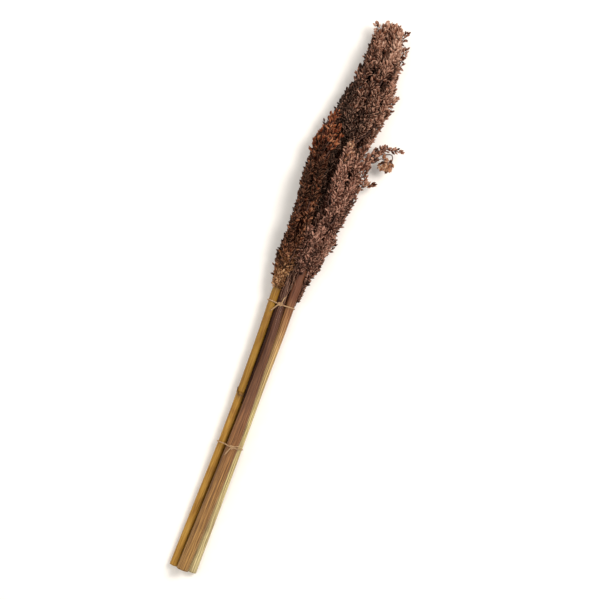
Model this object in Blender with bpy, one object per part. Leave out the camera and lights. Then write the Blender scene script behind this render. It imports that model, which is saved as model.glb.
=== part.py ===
"""A tied bunch of three dried sorghum plants, laid down.

Three cut stalks run along +Y, and each carries one seed head. The long head lies lowest, in the
middle, and the left and right heads lie over its lower half, pressed against it. Two turns of
twine hold the stalks, and two rolled leaf sheaths are still on the left one.

Every table below is in millimetres: how far along from the upper tie, then across to the right,
then the height above the surface that the bunch lies on. place() turns them into metres.
"""

import math

import bmesh
import bpy
import numpy as np
from mathutils import Vector

MM = 0.001
GAP = 0.3  # clear space between two pieces that touch
HEAD_GAP = 0.7  # half the space between two heads, whose faces are coarser
CUT_END = -298.0  # where the stalks are cut off
STEP_ALONG = 18.0  # spacing of the rings on a stalk

# Stalks: along, across, height, radius.
LEFT_STALK = (
    (CUT_END, -9.5, 4.8, 3.8),
    (-142.0, -8.0, 10.6, 3.7),
    (-88.0, -8.9, 12.6, 3.6),
    (-20.0, -10.8, 15.1, 3.6),
    (0.0, -12.0, 16.0, 3.5),
    (20.0, -12.7, 16.5, 3.4),
    (46.0, -13.6, 16.8, 3.0),
)
MIDDLE_STALK = (
    (CUT_END, 0.6, 13.4, 6.4),
    (-142.0, 3.4, 19.6, 6.2),
    (-88.0, 2.4, 19.9, 5.1),
    (-20.0, -0.9, 18.8, 4.6),
    (0.0, -2.5, 16.8, 4.4),
    (12.0, -3.4, 13.9, 4.4),
    (30.0, -4.2, 12.8, 4.2),
    (60.0, -3.8, 12.4, 3.4),
)
RIGHT_STALK = (
    (CUT_END, 10.2, 5.0, 5.0),
    (-142.0, 8.7, 9.0, 4.9),
    (-88.0, 7.9, 10.5, 4.8),
    (-20.0, 7.6, 12.7, 4.7),
    (0.0, 7.1, 14.4, 4.6),
    (12.0, 6.9, 16.2, 4.6),
    (44.0, 6.9, 19.0, 4.5),
    (62.0, 8.4, 19.6, 3.8),
)

# Leaf sheaths rolled round the left stalk: from, to, and how far the top edge flares.
UPPER_SHEATH = (-101.5, 15.5, 0.25)
LOWER_SHEATH = (CUT_END, -104.5, 0.5)
SHEATH_WALL = 0.7
CUT_PAST = 1.0  # how far a cutter runs past the piece that it cuts
BORES_FROM = -6.0  # where the room for the stalks in the heads begins

# Seed heads: along, left edge, right edge, underside, top.
LONG_HEAD = (
    (24.0, -8.0, 2.0, 7.0, 18.0),
    (50.0, -11.0, 4.0, 0.0, 21.0),
    (110.0, -14.0, 9.0, -1.5, 25.0),
    (165.0, -16.0, 14.0, -1.5, 28.0),
    (208.0, -21.0, 29.0, -1.5, 34.0),
    (236.0, -20.0, 30.0, -1.5, 36.0),
    (270.0, -13.5, 25.0, -1.0, 34.0),
    (300.0, -12.0, 22.0, 0.0, 31.0),
    (319.0, -10.0, 18.0, 2.0, 28.0),
)
LEFT_HEAD = (
    (17.0, -18.5, -7.5, 10.5, 22.0),
    (50.0, -24.5, -6.0, 2.0, 27.0),
    (80.0, -24.0, -6.5, -1.5, 30.0),
    (110.0, -26.8, -7.0, -1.5, 32.0),
    (145.0, -29.5, -8.5, -1.5, 33.0),
    (185.0, -29.5, -11.0, -1.0, 31.0),
    (205.0, -25.0, -12.0, 2.0, 27.0),
)
RIGHT_HEAD = (
    (3.0, 9.5, 14.3, 9.5, 18.5),
    (26.0, 8.5, 16.5, 8.0, 21.5),
    (42.0, 7.0, 22.0, 4.0, 23.5),
    (54.0, -1.0, 24.5, 0.0, 30.5),
    (85.0, -1.5, 25.0, -1.5, 34.0),
    (120.0, -1.0, 29.0, -1.5, 37.0),
    (160.0, 0.5, 29.5, -1.5, 36.0),
    (189.0, 2.0, 19.0, 3.0, 29.0),
)
BASE_TAPER = 14.0  # length over which a head closes at its base
TIP_ROUND = 13.0  # and at its tip
HEAD_SIDES = 26
HEAD_RING = 6.4  # mean spacing of the rings along a head
RING_EVENNESS = 0.6  # 1 spaces the rings evenly, 0 crowds them at the ends
PAST_THE_END = 10.0  # a neighbour still makes room this far past the end of a head
TINY = 1e-9

# The lobes that the branches of a head make on its outline.
LOBE_DEPTH = 0.10
LOBES_ROUND = 5.0
LOBE_LENGTH = 34.0

# Loose branches that stand away from the heads: along, across, height, radius.
BRANCH_STEP = 8.0
RIGHT_BRANCHES = (
    ((146.0, 22.0, 22.0, 2.0), (164.0, 33.0, 22.5, 2.0), (182.0, 43.0, 21.5, 2.4), (196.0, 57.0, 19.0, 1.8)),
    ((183.0, 43.5, 21.0, 2.0), (187.0, 49.5, 20.0, 2.4), (178.0, 53.0, 18.5, 2.8), (170.0, 52.5, 17.5, 2.0)),
    ((138.0, 24.0, 17.0, 1.8), (151.0, 34.0, 17.5, 2.2), (157.0, 42.0, 17.0, 1.6)),
    ((156.0, 24.0, 25.0, 2.2), (172.0, 31.0, 25.5, 2.6), (186.0, 36.5, 24.0, 1.8)),
)
LONG_BRANCHES = (
    ((222.0, 22.0, 20.0, 2.0), (236.0, 30.0, 20.5, 2.2), (249.0, 33.5, 19.5, 1.6)),
    ((276.0, 18.0, 19.0, 2.0), (287.0, 24.0, 19.5, 2.0), (297.0, 26.5, 19.0, 1.4)),
    ((296.0, -6.0, 20.0, 2.4), (310.0, -12.5, 21.0, 2.6), (321.0, -14.5, 21.0, 1.8)),
)

# Twine: where each turn lies along the stalks, its radius and the room left under it.
TWINE_RADIUS = 0.65
TWINE_ROOM = 0.4
TURN_POINTS = 56
UPPER_TIE = 0.0
LOWER_TIE = -158.0
KNOT_SIZE = (2.6, 1.9, 1.5)  # half length across, along and up
UPPER_KNOT_ACROSS = -2.4
LOWER_KNOT_ACROSS = -5.6
# The tails of a knot: pairs of how far along from the turn, then across.
UPPER_TAILS = (((2.5, -1.6), (5.2, -1.2), (8.6, -0.4)), ((-0.6, -4.2), (-4.0, -6.2), (-9.2, -9.3)))
LOWER_TAILS = (((1.0, -5.0), (4.5, -3.6), (8.0, -2.8)), ((-1.0, -6.8), (-5.0, -8.2), (-9.5, -8.8)))
TAIL_RISE = 0.5

HEAD_COLOURS = {
    "seed_head_left": (0.07, 0.027, 0.014),
    "seed_head_long": (0.085, 0.036, 0.022),
    "seed_head_right": (0.125, 0.06, 0.042),
}
STALK_COLOURS = {
    "stalk_left": (0.36, 0.2, 0.045),
    "stalk_middle": (0.17, 0.085, 0.055),
    "stalk_right": (0.5, 0.36, 0.14),
}
SHEATH_COLOUR = (0.33, 0.17, 0.035)
TWINE_COLOUR = (0.46, 0.3, 0.15)


def clear_scene():
    for thing in list(bpy.data.objects):
        bpy.data.objects.remove(thing, do_unlink=True)


def new_collection(name, hidden=False):
    found = bpy.data.collections.new(name)
    bpy.context.scene.collection.children.link(found)
    found.hide_render = hidden
    return found


def place(along, across, height):
    return Vector((across * MM, along * MM, height * MM))


def smooth_rows(rows, along):
    """The columns of a table at any point along it, on smooth curves through its rows."""
    table = np.array(rows, dtype=float)
    spans = np.diff(table[:, 0])
    slopes = np.diff(table[:, 1:], axis=0) / spans[:, None]
    level_at_peaks = np.where(slopes[:-1] * slopes[1:] > 0, (slopes[:-1] + slopes[1:]) / 2.0, 0.0)
    bends = np.vstack([slopes[:1], level_at_peaks, slopes[-1:]])
    where = np.clip(np.asarray(along, dtype=float), table[0, 0], table[-1, 0])
    index = np.clip(np.searchsorted(table[:, 0], where, side="right") - 1, 0, len(spans) - 1)
    span = spans[index]
    part = ((where - table[index, 0]) / span)[..., None]
    span = span[..., None]
    start, end = table[index, 1:], table[index + 1, 1:]
    return (
        start * (2 * part**3 - 3 * part**2 + 1)
        + end * (3 * part**2 - 2 * part**3)
        + bends[index] * span * (part**3 - 2 * part**2 + part)
        + bends[index + 1] * span * (part**3 - part**2)
    )


def material(name, colour, roughness):
    made = bpy.data.materials.new(name)
    made.use_nodes = True
    shader = made.node_tree.nodes["Principled BSDF"]
    shader.inputs["Base Color"].default_value = (*colour, 1.0)
    shader.inputs["Roughness"].default_value = roughness
    shader.inputs["Metallic"].default_value = 0.0
    return made


def finish(solid, collection, parent, surface):
    collection.objects.link(solid)
    solid.parent = parent
    solid.data.materials.clear()
    solid.data.materials.append(surface)
    solid.data.shade_smooth()
    solid.data.set_sharp_from_angle(angle=math.radians(50.0))
    return solid


def tube(name, rows, resolution=4, closed=False):
    """A round tube through rows of along, across, height and radius, as a closed mesh."""
    curve = bpy.data.curves.new(name, "CURVE")
    curve.dimensions = "3D"
    curve.bevel_depth = MM
    curve.bevel_resolution = resolution
    curve.use_fill_caps = True
    spline = curve.splines.new("POLY")
    spline.points.add(len(rows) - 1)
    spline.use_cyclic_u = closed
    for point, (along, across, height, radius) in zip(spline.points, rows):
        point.co = (*place(along, across, height), 1.0)
        point.radius = radius
    drawn = bpy.data.objects.new(name, curve)
    bpy.context.scene.collection.objects.link(drawn)
    graph = bpy.context.evaluated_depsgraph_get()
    mesh = bpy.data.meshes.new_from_object(drawn.evaluated_get(graph))
    bpy.data.objects.remove(drawn, do_unlink=True)
    shell = bmesh.new()
    shell.from_mesh(mesh)
    bmesh.ops.remove_doubles(shell, verts=shell.verts, dist=1e-6)
    shell.to_mesh(mesh)
    shell.free()
    return bpy.data.objects.new(name, mesh)


def resampled(rows, start, end, step, extra_radius=0.0):
    """Rows of a stalk's table at an even spacing between two points along it."""
    count = max(2, round((end - start) / step) + 1)
    along = np.linspace(start, end, count)
    columns = smooth_rows(rows, along)
    columns[:, 2] += extra_radius
    return [(float(a), *map(float, row)) for a, row in zip(along, columns)]


def branch_path(branch):
    """A loose branch's rows, closer together unless it hangs back down."""
    start, end = branch[0][0], branch[-1][0]
    return resampled(branch, start, end, BRANCH_STEP) if start < end else branch


def as_cutter(solid, cutters, parent):
    cutters.objects.link(solid)
    solid.parent = parent
    solid.hide_render = True
    solid.display_type = "WIRE"
    return solid


def combine(solid, other, operation):
    step = solid.modifiers.new(f"{operation.lower()} {other.name}", "BOOLEAN")
    step.operation = operation
    step.solver = "EXACT"
    step.object = other


def stalk(name, rows, collection, parent, surface):
    path = resampled(rows, rows[0][0], rows[-1][0], STEP_ALONG)
    return finish(tube(name, path), collection, parent, surface)


def sheath(name, span, collection, cutters, parent, surface):
    """A leaf sheath rolled round the left stalk, a little wider at its open top."""
    start, end, flare = span
    inner = resampled(LEFT_STALK, start - CUT_PAST, end + CUT_PAST, STEP_ALONG, GAP)
    outer = resampled(LEFT_STALK, start, end, STEP_ALONG, GAP + SHEATH_WALL)
    along, across, height, radius = outer[-1]
    outer[-1] = (along, across, height, radius + flare)
    rolled = finish(tube(name, outer), collection, parent, surface)
    bore = as_cutter(tube(f"{name}_bore", inner), cutters, parent)
    combine(rolled, bore, "DIFFERENCE")


def section(rows, along):
    """The centre and half sizes of a head's cross-section, before its ends close."""
    left, right, low, high = np.moveaxis(smooth_rows(rows, along), -1, 0)
    centre = np.stack([(left + right) / 2.0, (low + high) / 2.0], axis=-1)
    half = np.stack([(right - left) / 2.0, (high - low) / 2.0], axis=-1)
    return centre, half


def closing(rows, along):
    """The share of its full section that a head has along it: a quarter ellipse at each end."""
    from_base = np.clip((along - rows[0][0]) / BASE_TAPER, 0.0, 1.0)
    from_tip = np.clip((rows[-1][0] - along) / TIP_ROUND, 0.0, 1.0)
    return np.sqrt(1.0 - (1.0 - from_base) ** 2) * np.sqrt(1.0 - (1.0 - from_tip) ** 2)


def room_beside(rows, other, along, reach):
    """How far each ray of a section goes before it meets the plane shared with another head.

    The plane stands across the line between the two centres, where it divides that line in the
    ratio of the two heads' sizes along it. Rays are in units of the section's own outline.
    """
    own_centre, own_half = section(rows, along)
    its_centre, its_half = section(other, along)
    apart = its_centre - own_centre
    distance = np.linalg.norm(apart, axis=-1)
    towards = apart / distance[..., None]
    own_size = 1.0 / np.linalg.norm(towards / own_half, axis=-1)
    its_size = 1.0 / np.linalg.norm(towards / its_half, axis=-1)
    share = distance * own_size / (own_size + its_size) - HEAD_GAP
    advance = np.sum(reach * towards, axis=-1)
    beside = (along > other[0][0] - PAST_THE_END) & (along < other[-1][0] + PAST_THE_END)
    return np.where((advance > TINY) & beside, share / np.maximum(advance, TINY), np.inf)


def seed_head(name, rows, others, branches, bores, collection, cutters, parent, surface):
    """A seed head: a sphere drawn out along its table, lobed, and pressed flat on its neighbours."""
    length = rows[-1][0] - rows[0][0]
    ball = bmesh.new()
    bmesh.ops.create_uvsphere(ball, u_segments=HEAD_SIDES, v_segments=round(length / HEAD_RING), radius=1.0)
    points = np.array([vertex.co[:] for vertex in ball.verts])
    turn = np.arctan2(points[:, 1], points[:, 0])
    part = 1.0 - np.arccos(np.clip(points[:, 2], -1.0, 1.0)) / math.pi
    crowded = (1.0 - np.cos(math.pi * part)) / 2.0
    along = rows[0][0] + length * (RING_EVENNESS * part + (1.0 - RING_EVENNESS) * crowded)
    centre, half = section(rows, along)
    half = half * closing(rows, along)[:, None]
    reach = half * np.stack([np.cos(turn), np.sin(turn)], axis=-1)
    slant = math.pi * along / LOBE_LENGTH
    ridges = np.cos(LOBES_ROUND * turn / 2.0 + slant) * np.cos(LOBES_ROUND * turn / 2.0 - slant)
    filled = 1.0 - LOBE_DEPTH * (0.5 - 0.5 * ridges)
    for other in others:
        filled = np.minimum(filled, room_beside(rows, other, along, reach))
    floor = np.where(reach[:, 1] < -TINY, centre[:, 1] / np.maximum(-reach[:, 1], TINY), np.inf)
    filled = np.minimum(filled, floor)
    shaped = centre + reach * filled[:, None]
    for vertex, a, (across, height) in zip(ball.verts, along, shaped):
        vertex.co = place(a, across, height)
    bmesh.ops.recalc_face_normals(ball, faces=ball.faces)
    mesh = bpy.data.meshes.new(name)
    ball.to_mesh(mesh)
    ball.free()
    head = finish(bpy.data.objects.new(name, mesh), collection, parent, surface)
    for number, branch in enumerate(branches, start=1):
        stem = tube(f"{name}_branch_{number}", branch_path(branch), resolution=2)
        combine(head, as_cutter(stem, cutters, parent), "UNION")
    for bore in bores:
        combine(head, bore, "DIFFERENCE")


def turn_of_twine(along):
    """The closed path of a turn of twine pulled tight round the three stalks.

    In each direction round the bunch it touches whichever stalk reaches furthest that way.
    """
    sheathed = GAP + SHEATH_WALL
    rows = (LEFT_STALK, MIDDLE_STALK, RIGHT_STALK)
    stalks = np.array([smooth_rows(row, along) for row in rows])
    stalks[0, 2] += sheathed
    around = np.linspace(0.0, 2.0 * math.pi, TURN_POINTS, endpoint=False)
    way = np.stack([np.cos(around), np.sin(around)], axis=-1)
    reach = way @ stalks[:, :2].T + stalks[:, 2]
    touched = stalks[np.argmax(reach, axis=1)]
    return touched[:, :2] + way * (touched[:, 2:] + TWINE_ROOM + TWINE_RADIUS)


def height_over(path, across):
    """The height of the upper side of a turn of twine at one place across it."""
    upper = path[path[:, 1] >= np.median(path[:, 1])]
    upper = upper[np.argsort(upper[:, 0])]
    return float(np.interp(across, upper[:, 0], upper[:, 1]))


def tie(name, along, knot_across, tails, collection, cutters, parent, surface):
    """A turn of twine with a flattened knot on top and two short tails."""
    path = turn_of_twine(along)
    rows = [(along, float(x), float(z), TWINE_RADIUS) for x, z in path]
    twine = finish(tube(name, rows, resolution=1, closed=True), collection, parent, surface)
    top = height_over(path, knot_across)
    knot = bmesh.new()
    bmesh.ops.create_uvsphere(knot, u_segments=12, v_segments=8, radius=1.0)
    across, forward, up = KNOT_SIZE
    lift = top + up - TWINE_RADIUS
    for vertex in knot.verts:
        x, y, z = vertex.co
        vertex.co = place(along + forward * y, knot_across + across * x, lift + up * z)
    mesh = bpy.data.meshes.new(f"{name}_knot")
    knot.to_mesh(mesh)
    knot.free()
    ball = bpy.data.objects.new(f"{name}_knot", mesh)
    combine(twine, as_cutter(ball, cutters, parent), "UNION")
    for number, tail in enumerate(tails, start=1):
        rows = [(along, knot_across, lift, TWINE_RADIUS)]
        rows += [(along + ahead, sideways, lift + TAIL_RISE, TWINE_RADIUS) for ahead, sideways in tail]
        loose = tube(f"{name}_tail_{number}", rows, resolution=1)
        combine(twine, as_cutter(loose, cutters, parent), "UNION")


def centre_on_origin(collection, holder):
    """Moves the whole bunch so that the origin is under the middle of its box."""
    bpy.context.view_layer.update()
    graph = bpy.context.evaluated_depsgraph_get()
    corners = []
    for solid in collection.objects:
        if solid.type == "MESH":
            shown = solid.evaluated_get(graph)
            corners += [shown.matrix_world @ vertex.co for vertex in shown.data.vertices]
    points = np.array(corners)
    low, high = points.min(axis=0), points.max(axis=0)
    middle = (low + high) / 2.0
    holder.location = (-middle[0], -middle[1], -low[2])


def main():
    clear_scene()
    bunch = new_collection("sorghum_bunch")
    cutters = new_collection("cutters", hidden=True)
    holder = bpy.data.objects.new("bunch_origin", None)
    bunch.objects.link(holder)

    tables = {"stalk_left": LEFT_STALK, "stalk_middle": MIDDLE_STALK, "stalk_right": RIGHT_STALK}
    bores = []
    for name, rows in tables.items():
        stalk(name, rows, bunch, holder, material(name, STALK_COLOURS[name], 0.45))
        path = resampled(rows, BORES_FROM, rows[-1][0] + GAP, STEP_ALONG / 2.0, GAP)
        bores.append(as_cutter(tube(f"{name}_room", path), cutters, holder))

    golden = material("leaf_sheath", SHEATH_COLOUR, 0.5)
    sheath("leaf_sheath_upper", UPPER_SHEATH, bunch, cutters, holder, golden)
    sheath("leaf_sheath_lower", LOWER_SHEATH, bunch, cutters, holder, golden)

    heads = {
        "seed_head_long": (LONG_HEAD, (LEFT_HEAD, RIGHT_HEAD), LONG_BRANCHES),
        "seed_head_left": (LEFT_HEAD, (LONG_HEAD, RIGHT_HEAD), ()),
        "seed_head_right": (RIGHT_HEAD, (LONG_HEAD, LEFT_HEAD), RIGHT_BRANCHES),
    }
    for name, (rows, others, branches) in heads.items():
        surface = material(name, HEAD_COLOURS[name], 0.8)
        seed_head(name, rows, others, branches, bores, bunch, cutters, holder, surface)

    straw = material("twine", TWINE_COLOUR, 0.75)
    tie("tie_upper", UPPER_TIE, UPPER_KNOT_ACROSS, UPPER_TAILS, bunch, cutters, holder, straw)
    tie("tie_lower", LOWER_TIE, LOWER_KNOT_ACROSS, LOWER_TAILS, bunch, cutters, holder, straw)
    centre_on_origin(bunch, holder)


main()
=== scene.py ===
"""The looks of a tied bunch of three dried sorghum plants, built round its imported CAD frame."""

import math

import bpy
import numpy as np
from bpy.props import FloatProperty, FloatVectorProperty, IntProperty, PointerProperty
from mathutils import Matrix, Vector


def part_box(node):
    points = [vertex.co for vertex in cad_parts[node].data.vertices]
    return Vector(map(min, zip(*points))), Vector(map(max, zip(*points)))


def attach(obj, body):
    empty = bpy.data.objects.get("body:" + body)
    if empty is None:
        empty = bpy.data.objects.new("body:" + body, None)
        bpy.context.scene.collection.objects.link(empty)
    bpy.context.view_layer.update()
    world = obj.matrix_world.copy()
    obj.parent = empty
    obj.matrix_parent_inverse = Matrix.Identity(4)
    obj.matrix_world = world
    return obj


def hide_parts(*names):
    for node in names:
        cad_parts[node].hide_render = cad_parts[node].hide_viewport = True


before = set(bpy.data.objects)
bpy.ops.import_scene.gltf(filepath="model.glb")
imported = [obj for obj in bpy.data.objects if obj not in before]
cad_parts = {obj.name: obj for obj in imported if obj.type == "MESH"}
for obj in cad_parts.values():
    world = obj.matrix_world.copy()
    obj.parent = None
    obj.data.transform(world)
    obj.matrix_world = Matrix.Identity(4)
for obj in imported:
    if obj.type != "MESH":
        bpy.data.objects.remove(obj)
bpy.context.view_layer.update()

bl_info = {
    "name": "Dried Sorghum Bunch",
    "version": (1, 0, 0),
    "blender": (4, 5, 0),
    "location": "3D View > Sidebar > Sorghum",
    "description": "Husks, stalks, leaf sheaths and twine of a tied bunch of dried sorghum",
    "category": "Object",
}

MM = 0.001
BODY = "root"
UP = np.array([0.0, 0.0, 1.0])
FULL_TURN = 2 * math.pi
ANY_PHASE = 6.28  # the most that a random phase can be

# Each head: its CAD node, the stalk that carries it, the record's slot, and the seed of its random draws.
HEADS = {
    "left": ("seed_head_left", "stalk_left", "head_dark", 11),
    "long": ("seed_head_long", "stalk_middle", "head_brown", 23),
    "right": ("seed_head_right", "stalk_right", "head_mauve", 37),
}


# ---------------------------------------------------------------- colours and nodes


def linear(code):
    """An sRGB hex colour as linear red, green, blue and alpha."""
    parts = [int(code[i : i + 2], 16) / 255.0 for i in (1, 3, 5)]
    return (*[p / 12.92 if p <= 0.04045 else ((p + 0.055) / 1.055) ** 2.4 for p in parts], 1.0)


def feed(tree, node, inputs):
    """Sets a node's inputs to numbers or sRGB codes, or links the sockets that feed them."""
    for key, value in inputs.items():
        if isinstance(value, bpy.types.NodeSocket):
            tree.links.new(value, node.inputs[key])
        else:
            node.inputs[key].default_value = linear(value) if isinstance(value, str) else value


def add(tree, kind, inputs=None, **settings):
    """Adds a node. settings are its properties; inputs are what feed takes."""
    node = tree.nodes.new(kind)
    for name, value in settings.items():
        setattr(node, name, value)
    feed(tree, node, inputs or {})
    return node


def ramp(tree, factor, stops):
    """A colour ramp through (place, colour) stops. A colour is linear, or an sRGB code."""
    node = add(tree, "ShaderNodeValToRGB", {"Fac": factor})
    elements = node.color_ramp.elements
    while len(elements) < len(stops):
        elements.new(1.0)
    for element, (place, colour) in zip(elements, stops):
        element.position = place
        element.color = linear(colour) if isinstance(colour, str) else colour
    return node.outputs["Color"]


def even_stops(colours, start=0.0, width=1.0):
    """Ramp stops spaced evenly through colours, from the start over the width."""
    return [(start + width * (i / (len(colours) - 1)), colour) for i, colour in enumerate(colours)]


def shades_of(codes, chosen=None):
    """Linear colours of sRGB codes, all moved in step so that the middle one is the chosen colour."""
    shades = np.array([linear(code) for code in codes])
    if chosen is not None:
        shades[:, :3] = np.clip(shades[:, :3] * np.array(chosen) / shades[len(codes) // 2, :3], 0.0, 1.0)
    return [tuple(shade) for shade in shades.tolist()]


def blend(tree, factor, first, second, mode="MIX"):
    node = add(tree, "ShaderNodeMix", data_type="RGBA", blend_type=mode)
    feed(tree, node, {0: factor, 6: first, 7: second})
    return node.outputs[2]


def calc(tree, operation, *values):
    """A math node's result."""
    return add(tree, "ShaderNodeMath", dict(enumerate(values)), operation=operation).outputs[0]


def remap(tree, value, old, new=(0.0, 1.0)):
    """A value moved from its old range to a new one."""
    names = ("Value", "From Min", "From Max", "To Min", "To Max")
    return add(tree, "ShaderNodeMapRange", dict(zip(names, (value, *old, *new)))).outputs[0]


def attribute(tree, name):
    return add(tree, "ShaderNodeAttribute", attribute_name=name).outputs["Fac"]


def own_map(tree, name):
    return add(tree, "ShaderNodeUVMap", uv_map=name).outputs["UV"]


def object_place(tree):
    return add(tree, "ShaderNodeTexCoord").outputs["Object"]


def noise(tree, place, size, detail, drawn=None):
    """Noise in patches of this size, once the place is scaled by drawn."""
    if drawn:
        place = add(tree, "ShaderNodeMapping", {"Vector": place, "Scale": drawn}).outputs[0]
    inputs = {"Vector": place, "Scale": 1 / size, "Detail": detail}
    return add(tree, "ShaderNodeTexNoise", inputs).outputs["Fac"]


def drawn_noise(tree, skin, width, length, detail):
    """Noise in patches of this width across the skin and length along it, in millimetres."""
    return noise(tree, skin, 1.0, detail, (1 / (width * MM), 1 / (length * MM), 1.0))


def relief(tree, height, strength, depth):
    """A bump this many millimetres deep."""
    inputs = {"Strength": strength, "Distance": depth * MM, "Height": height}
    return add(tree, "ShaderNodeBump", inputs).outputs["Normal"]


def blank_material(name):
    made = bpy.data.materials.new(name)
    made.use_nodes = True
    tree = made.node_tree
    tree.nodes.clear()
    output = add(tree, "ShaderNodeOutputMaterial")
    shader = add(tree, "ShaderNodeBsdfPrincipled")
    tree.links.new(shader.outputs["BSDF"], output.inputs["Surface"])
    return made, tree, shader


# ---------------------------------------------------------------- meshes from arrays


def piece(name, points, faces, material, uvs=None, values=None):
    """A mesh object at the origin.

    faces is a list of index arrays, one array for each number of corners. uvs maps a name to an
    array of corner places in the same order, and values maps a name to one number for each point.
    """
    mesh = bpy.data.meshes.new(name)
    mesh.vertices.add(len(points))
    mesh.vertices.foreach_set("co", np.ascontiguousarray(points, np.float32).ravel())
    corners = np.concatenate([block.ravel() for block in faces])
    totals = np.concatenate([np.full(len(block), block.shape[1]) for block in faces])
    mesh.loops.add(len(corners))
    mesh.loops.foreach_set("vertex_index", corners.astype(np.int32))
    mesh.polygons.add(len(totals))
    starts = np.concatenate([[0], np.cumsum(totals)[:-1]])
    mesh.polygons.foreach_set("loop_start", starts.astype(np.int32))
    mesh.polygons.foreach_set("loop_total", totals.astype(np.int32))
    mesh.polygons.foreach_set("use_smooth", np.ones(len(totals), bool))
    for title, places in (uvs or {}).items():
        layer = mesh.uv_layers.new(name=title)
        layer.data.foreach_set("uv", np.ascontiguousarray(places, np.float32).ravel())
    for title, numbers in (values or {}).items():
        column = mesh.attributes.new(title, "FLOAT", "POINT")
        column.data.foreach_set("value", np.ascontiguousarray(numbers, np.float32))
    mesh.update(calc_edges=True)
    mesh.validate()
    mesh.materials.append(material)
    made = bpy.data.objects.new(name, mesh)
    bpy.context.scene.collection.objects.link(made)
    return made


def unit(vectors):
    return vectors / np.maximum(np.linalg.norm(vectors, axis=-1, keepdims=True), 1e-12)


def swung(angle, first, second):
    """The direction at an angle from first towards second, which is square to it."""
    return np.cos(angle)[..., None] * first + np.sin(angle)[..., None] * second


def even_angles(count):
    return np.linspace(0.0, FULL_TURN, count, endpoint=False)


def read_columns(at, known, columns):
    """Each column of a table, read at new places between the known ones."""
    return np.stack([np.interp(at, known, column) for column in columns.T], axis=-1)


def lengths_along(path):
    """The length of a path up to each of its points."""
    steps = np.linalg.norm(np.diff(path, axis=0), axis=1)
    return np.concatenate([[0.0], np.cumsum(steps)])


def ragged(count, width, random):
    """Random numbers, each the mean of as many draws as the width, so that they change slowly."""
    return np.convolve(random.normal(0, 1, count + width - 1), np.ones(width) / width, mode="valid")


def smoothstep(values, low, high):
    part = np.clip((values - low) / (high - low), 0.0, 1.0)
    return part * part * (3.0 - 2.0 * part)


def smooth_path(points, count):
    """Evenly spaced points on a Catmull-Rom curve through the given ones, any number of columns."""
    points = np.asarray(points, float)
    padded = np.vstack([2 * points[0] - points[1], points, 2 * points[-1] - points[-2]])
    place = np.linspace(0.0, len(points) - 1.0, max(count * 4, 40))
    index = np.minimum(place.astype(int), len(points) - 2)
    part = (place - index)[:, None]
    before, start, end, after = (padded[index + i] for i in range(4))
    curve = 0.5 * (
        2 * start
        + (end - before) * part
        + (2 * before - 5 * start + 4 * end - after) * part**2
        + (3 * start - before - 3 * end + after) * part**3
    )
    length = lengths_along(curve[:, :3])
    return read_columns(np.linspace(0.0, length[-1], count), length, curve)


def tangents(paths):
    """Unit directions along paths of shape (..., points, 3)."""
    ahead = np.concatenate([paths[..., 1:, :], paths[..., -1:, :]], axis=-2)
    behind = np.concatenate([paths[..., :1, :], paths[..., :-1, :]], axis=-2)
    return unit(ahead - behind)


def frames(paths, reference):
    """Directions along paths, and two across them, the first as near to reference as it can be."""
    along = tangents(paths)
    first = unit(reference - np.sum(reference * along, axis=-1, keepdims=True) * along)
    return along, first, np.cross(along, first)


def untwisted_frames(path, closed=False):
    """Frames carried along one path with the least turn about it, joined up again if it is closed."""
    along = tangents(path)
    if closed:
        along = unit(np.roll(path, -1, axis=0) - np.roll(path, 1, axis=0))
    first = np.zeros_like(path)
    start = np.array([0.0, 1.0, 0.0]) if abs(along[0, 1]) < 0.9 else UP
    first[0] = unit(start - start @ along[0] * along[0])
    for i in range(1, len(path)):
        first[i] = unit(first[i - 1] - first[i - 1] @ along[i] * along[i])
    second = np.cross(along, first)
    if closed:
        last = unit(first[-1] - first[-1] @ along[0] * along[0])
        turn = math.atan2(last @ second[0], last @ first[0])
        angle = -turn * np.arange(len(path)) / len(path)
        first, second = swung(angle, first, second), swung(angle, second, -first)
    return along, first, second


def tube_faces(rings, sides, closed=False):
    """Quads between rings of a tube, and the triangles that close its two ends on two extra points."""
    ring = np.arange(rings if closed else rings - 1)[:, None]
    side = np.arange(sides)[None, :]
    after, beside = (ring + 1) % rings, (side + 1) % sides
    corners = [ring * sides + side, ring * sides + beside, after * sides + beside, after * sides + side]
    quads = np.stack(corners, axis=-1).reshape(-1, 4)
    if closed:
        return quads, np.zeros((0, 3), int)
    side, beside = side[0], beside[0]
    first, last = rings * sides, rings * sides + 1
    bottom = np.stack([beside, side, np.full(sides, first)], axis=-1)
    top = (rings - 1) * sides
    lid = np.stack([top + side, top + beside, np.full(sides, last)], axis=-1)
    return quads, np.vstack([bottom, lid])


def tubes(paths, radii, sides, reference):
    """Many round tubes at once: points and faces.

    A point lies at the path's place plus the radius times (cos a * first + sin a * second), for
    angles a spaced evenly round the path. paths is (tubes, rings, 3) and radii (tubes, rings).
    """
    count, rings, _ = paths.shape
    _, first, second = frames(paths, reference)
    round_it = swung(even_angles(sides), first[:, :, None], second[:, :, None])
    skin = paths[:, :, None] + radii[:, :, None, None] * round_it
    ends = np.stack([paths[:, 0], paths[:, -1]], axis=1)
    points = np.concatenate([skin.reshape(count, -1, 3), ends], axis=1)
    quads, triangles = tube_faces(rings, sides)
    shift = (np.arange(count) * points.shape[1])[:, None, None]
    return points.reshape(-1, 3), (quads + shift).reshape(-1, 4), (triangles + shift).reshape(-1, 3)


def joined(parts):
    """Several (points, quads, triangles) as one."""
    shifts = np.cumsum([0] + [len(points) for points, _, _ in parts[:-1]])
    points = np.concatenate([points for points, _, _ in parts])
    quads = np.concatenate([quads + shift for (_, quads, _), shift in zip(parts, shifts)])
    triangles = np.concatenate([tris + shift for (_, _, tris), shift in zip(parts, shifts)])
    return points, quads, triangles


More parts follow.
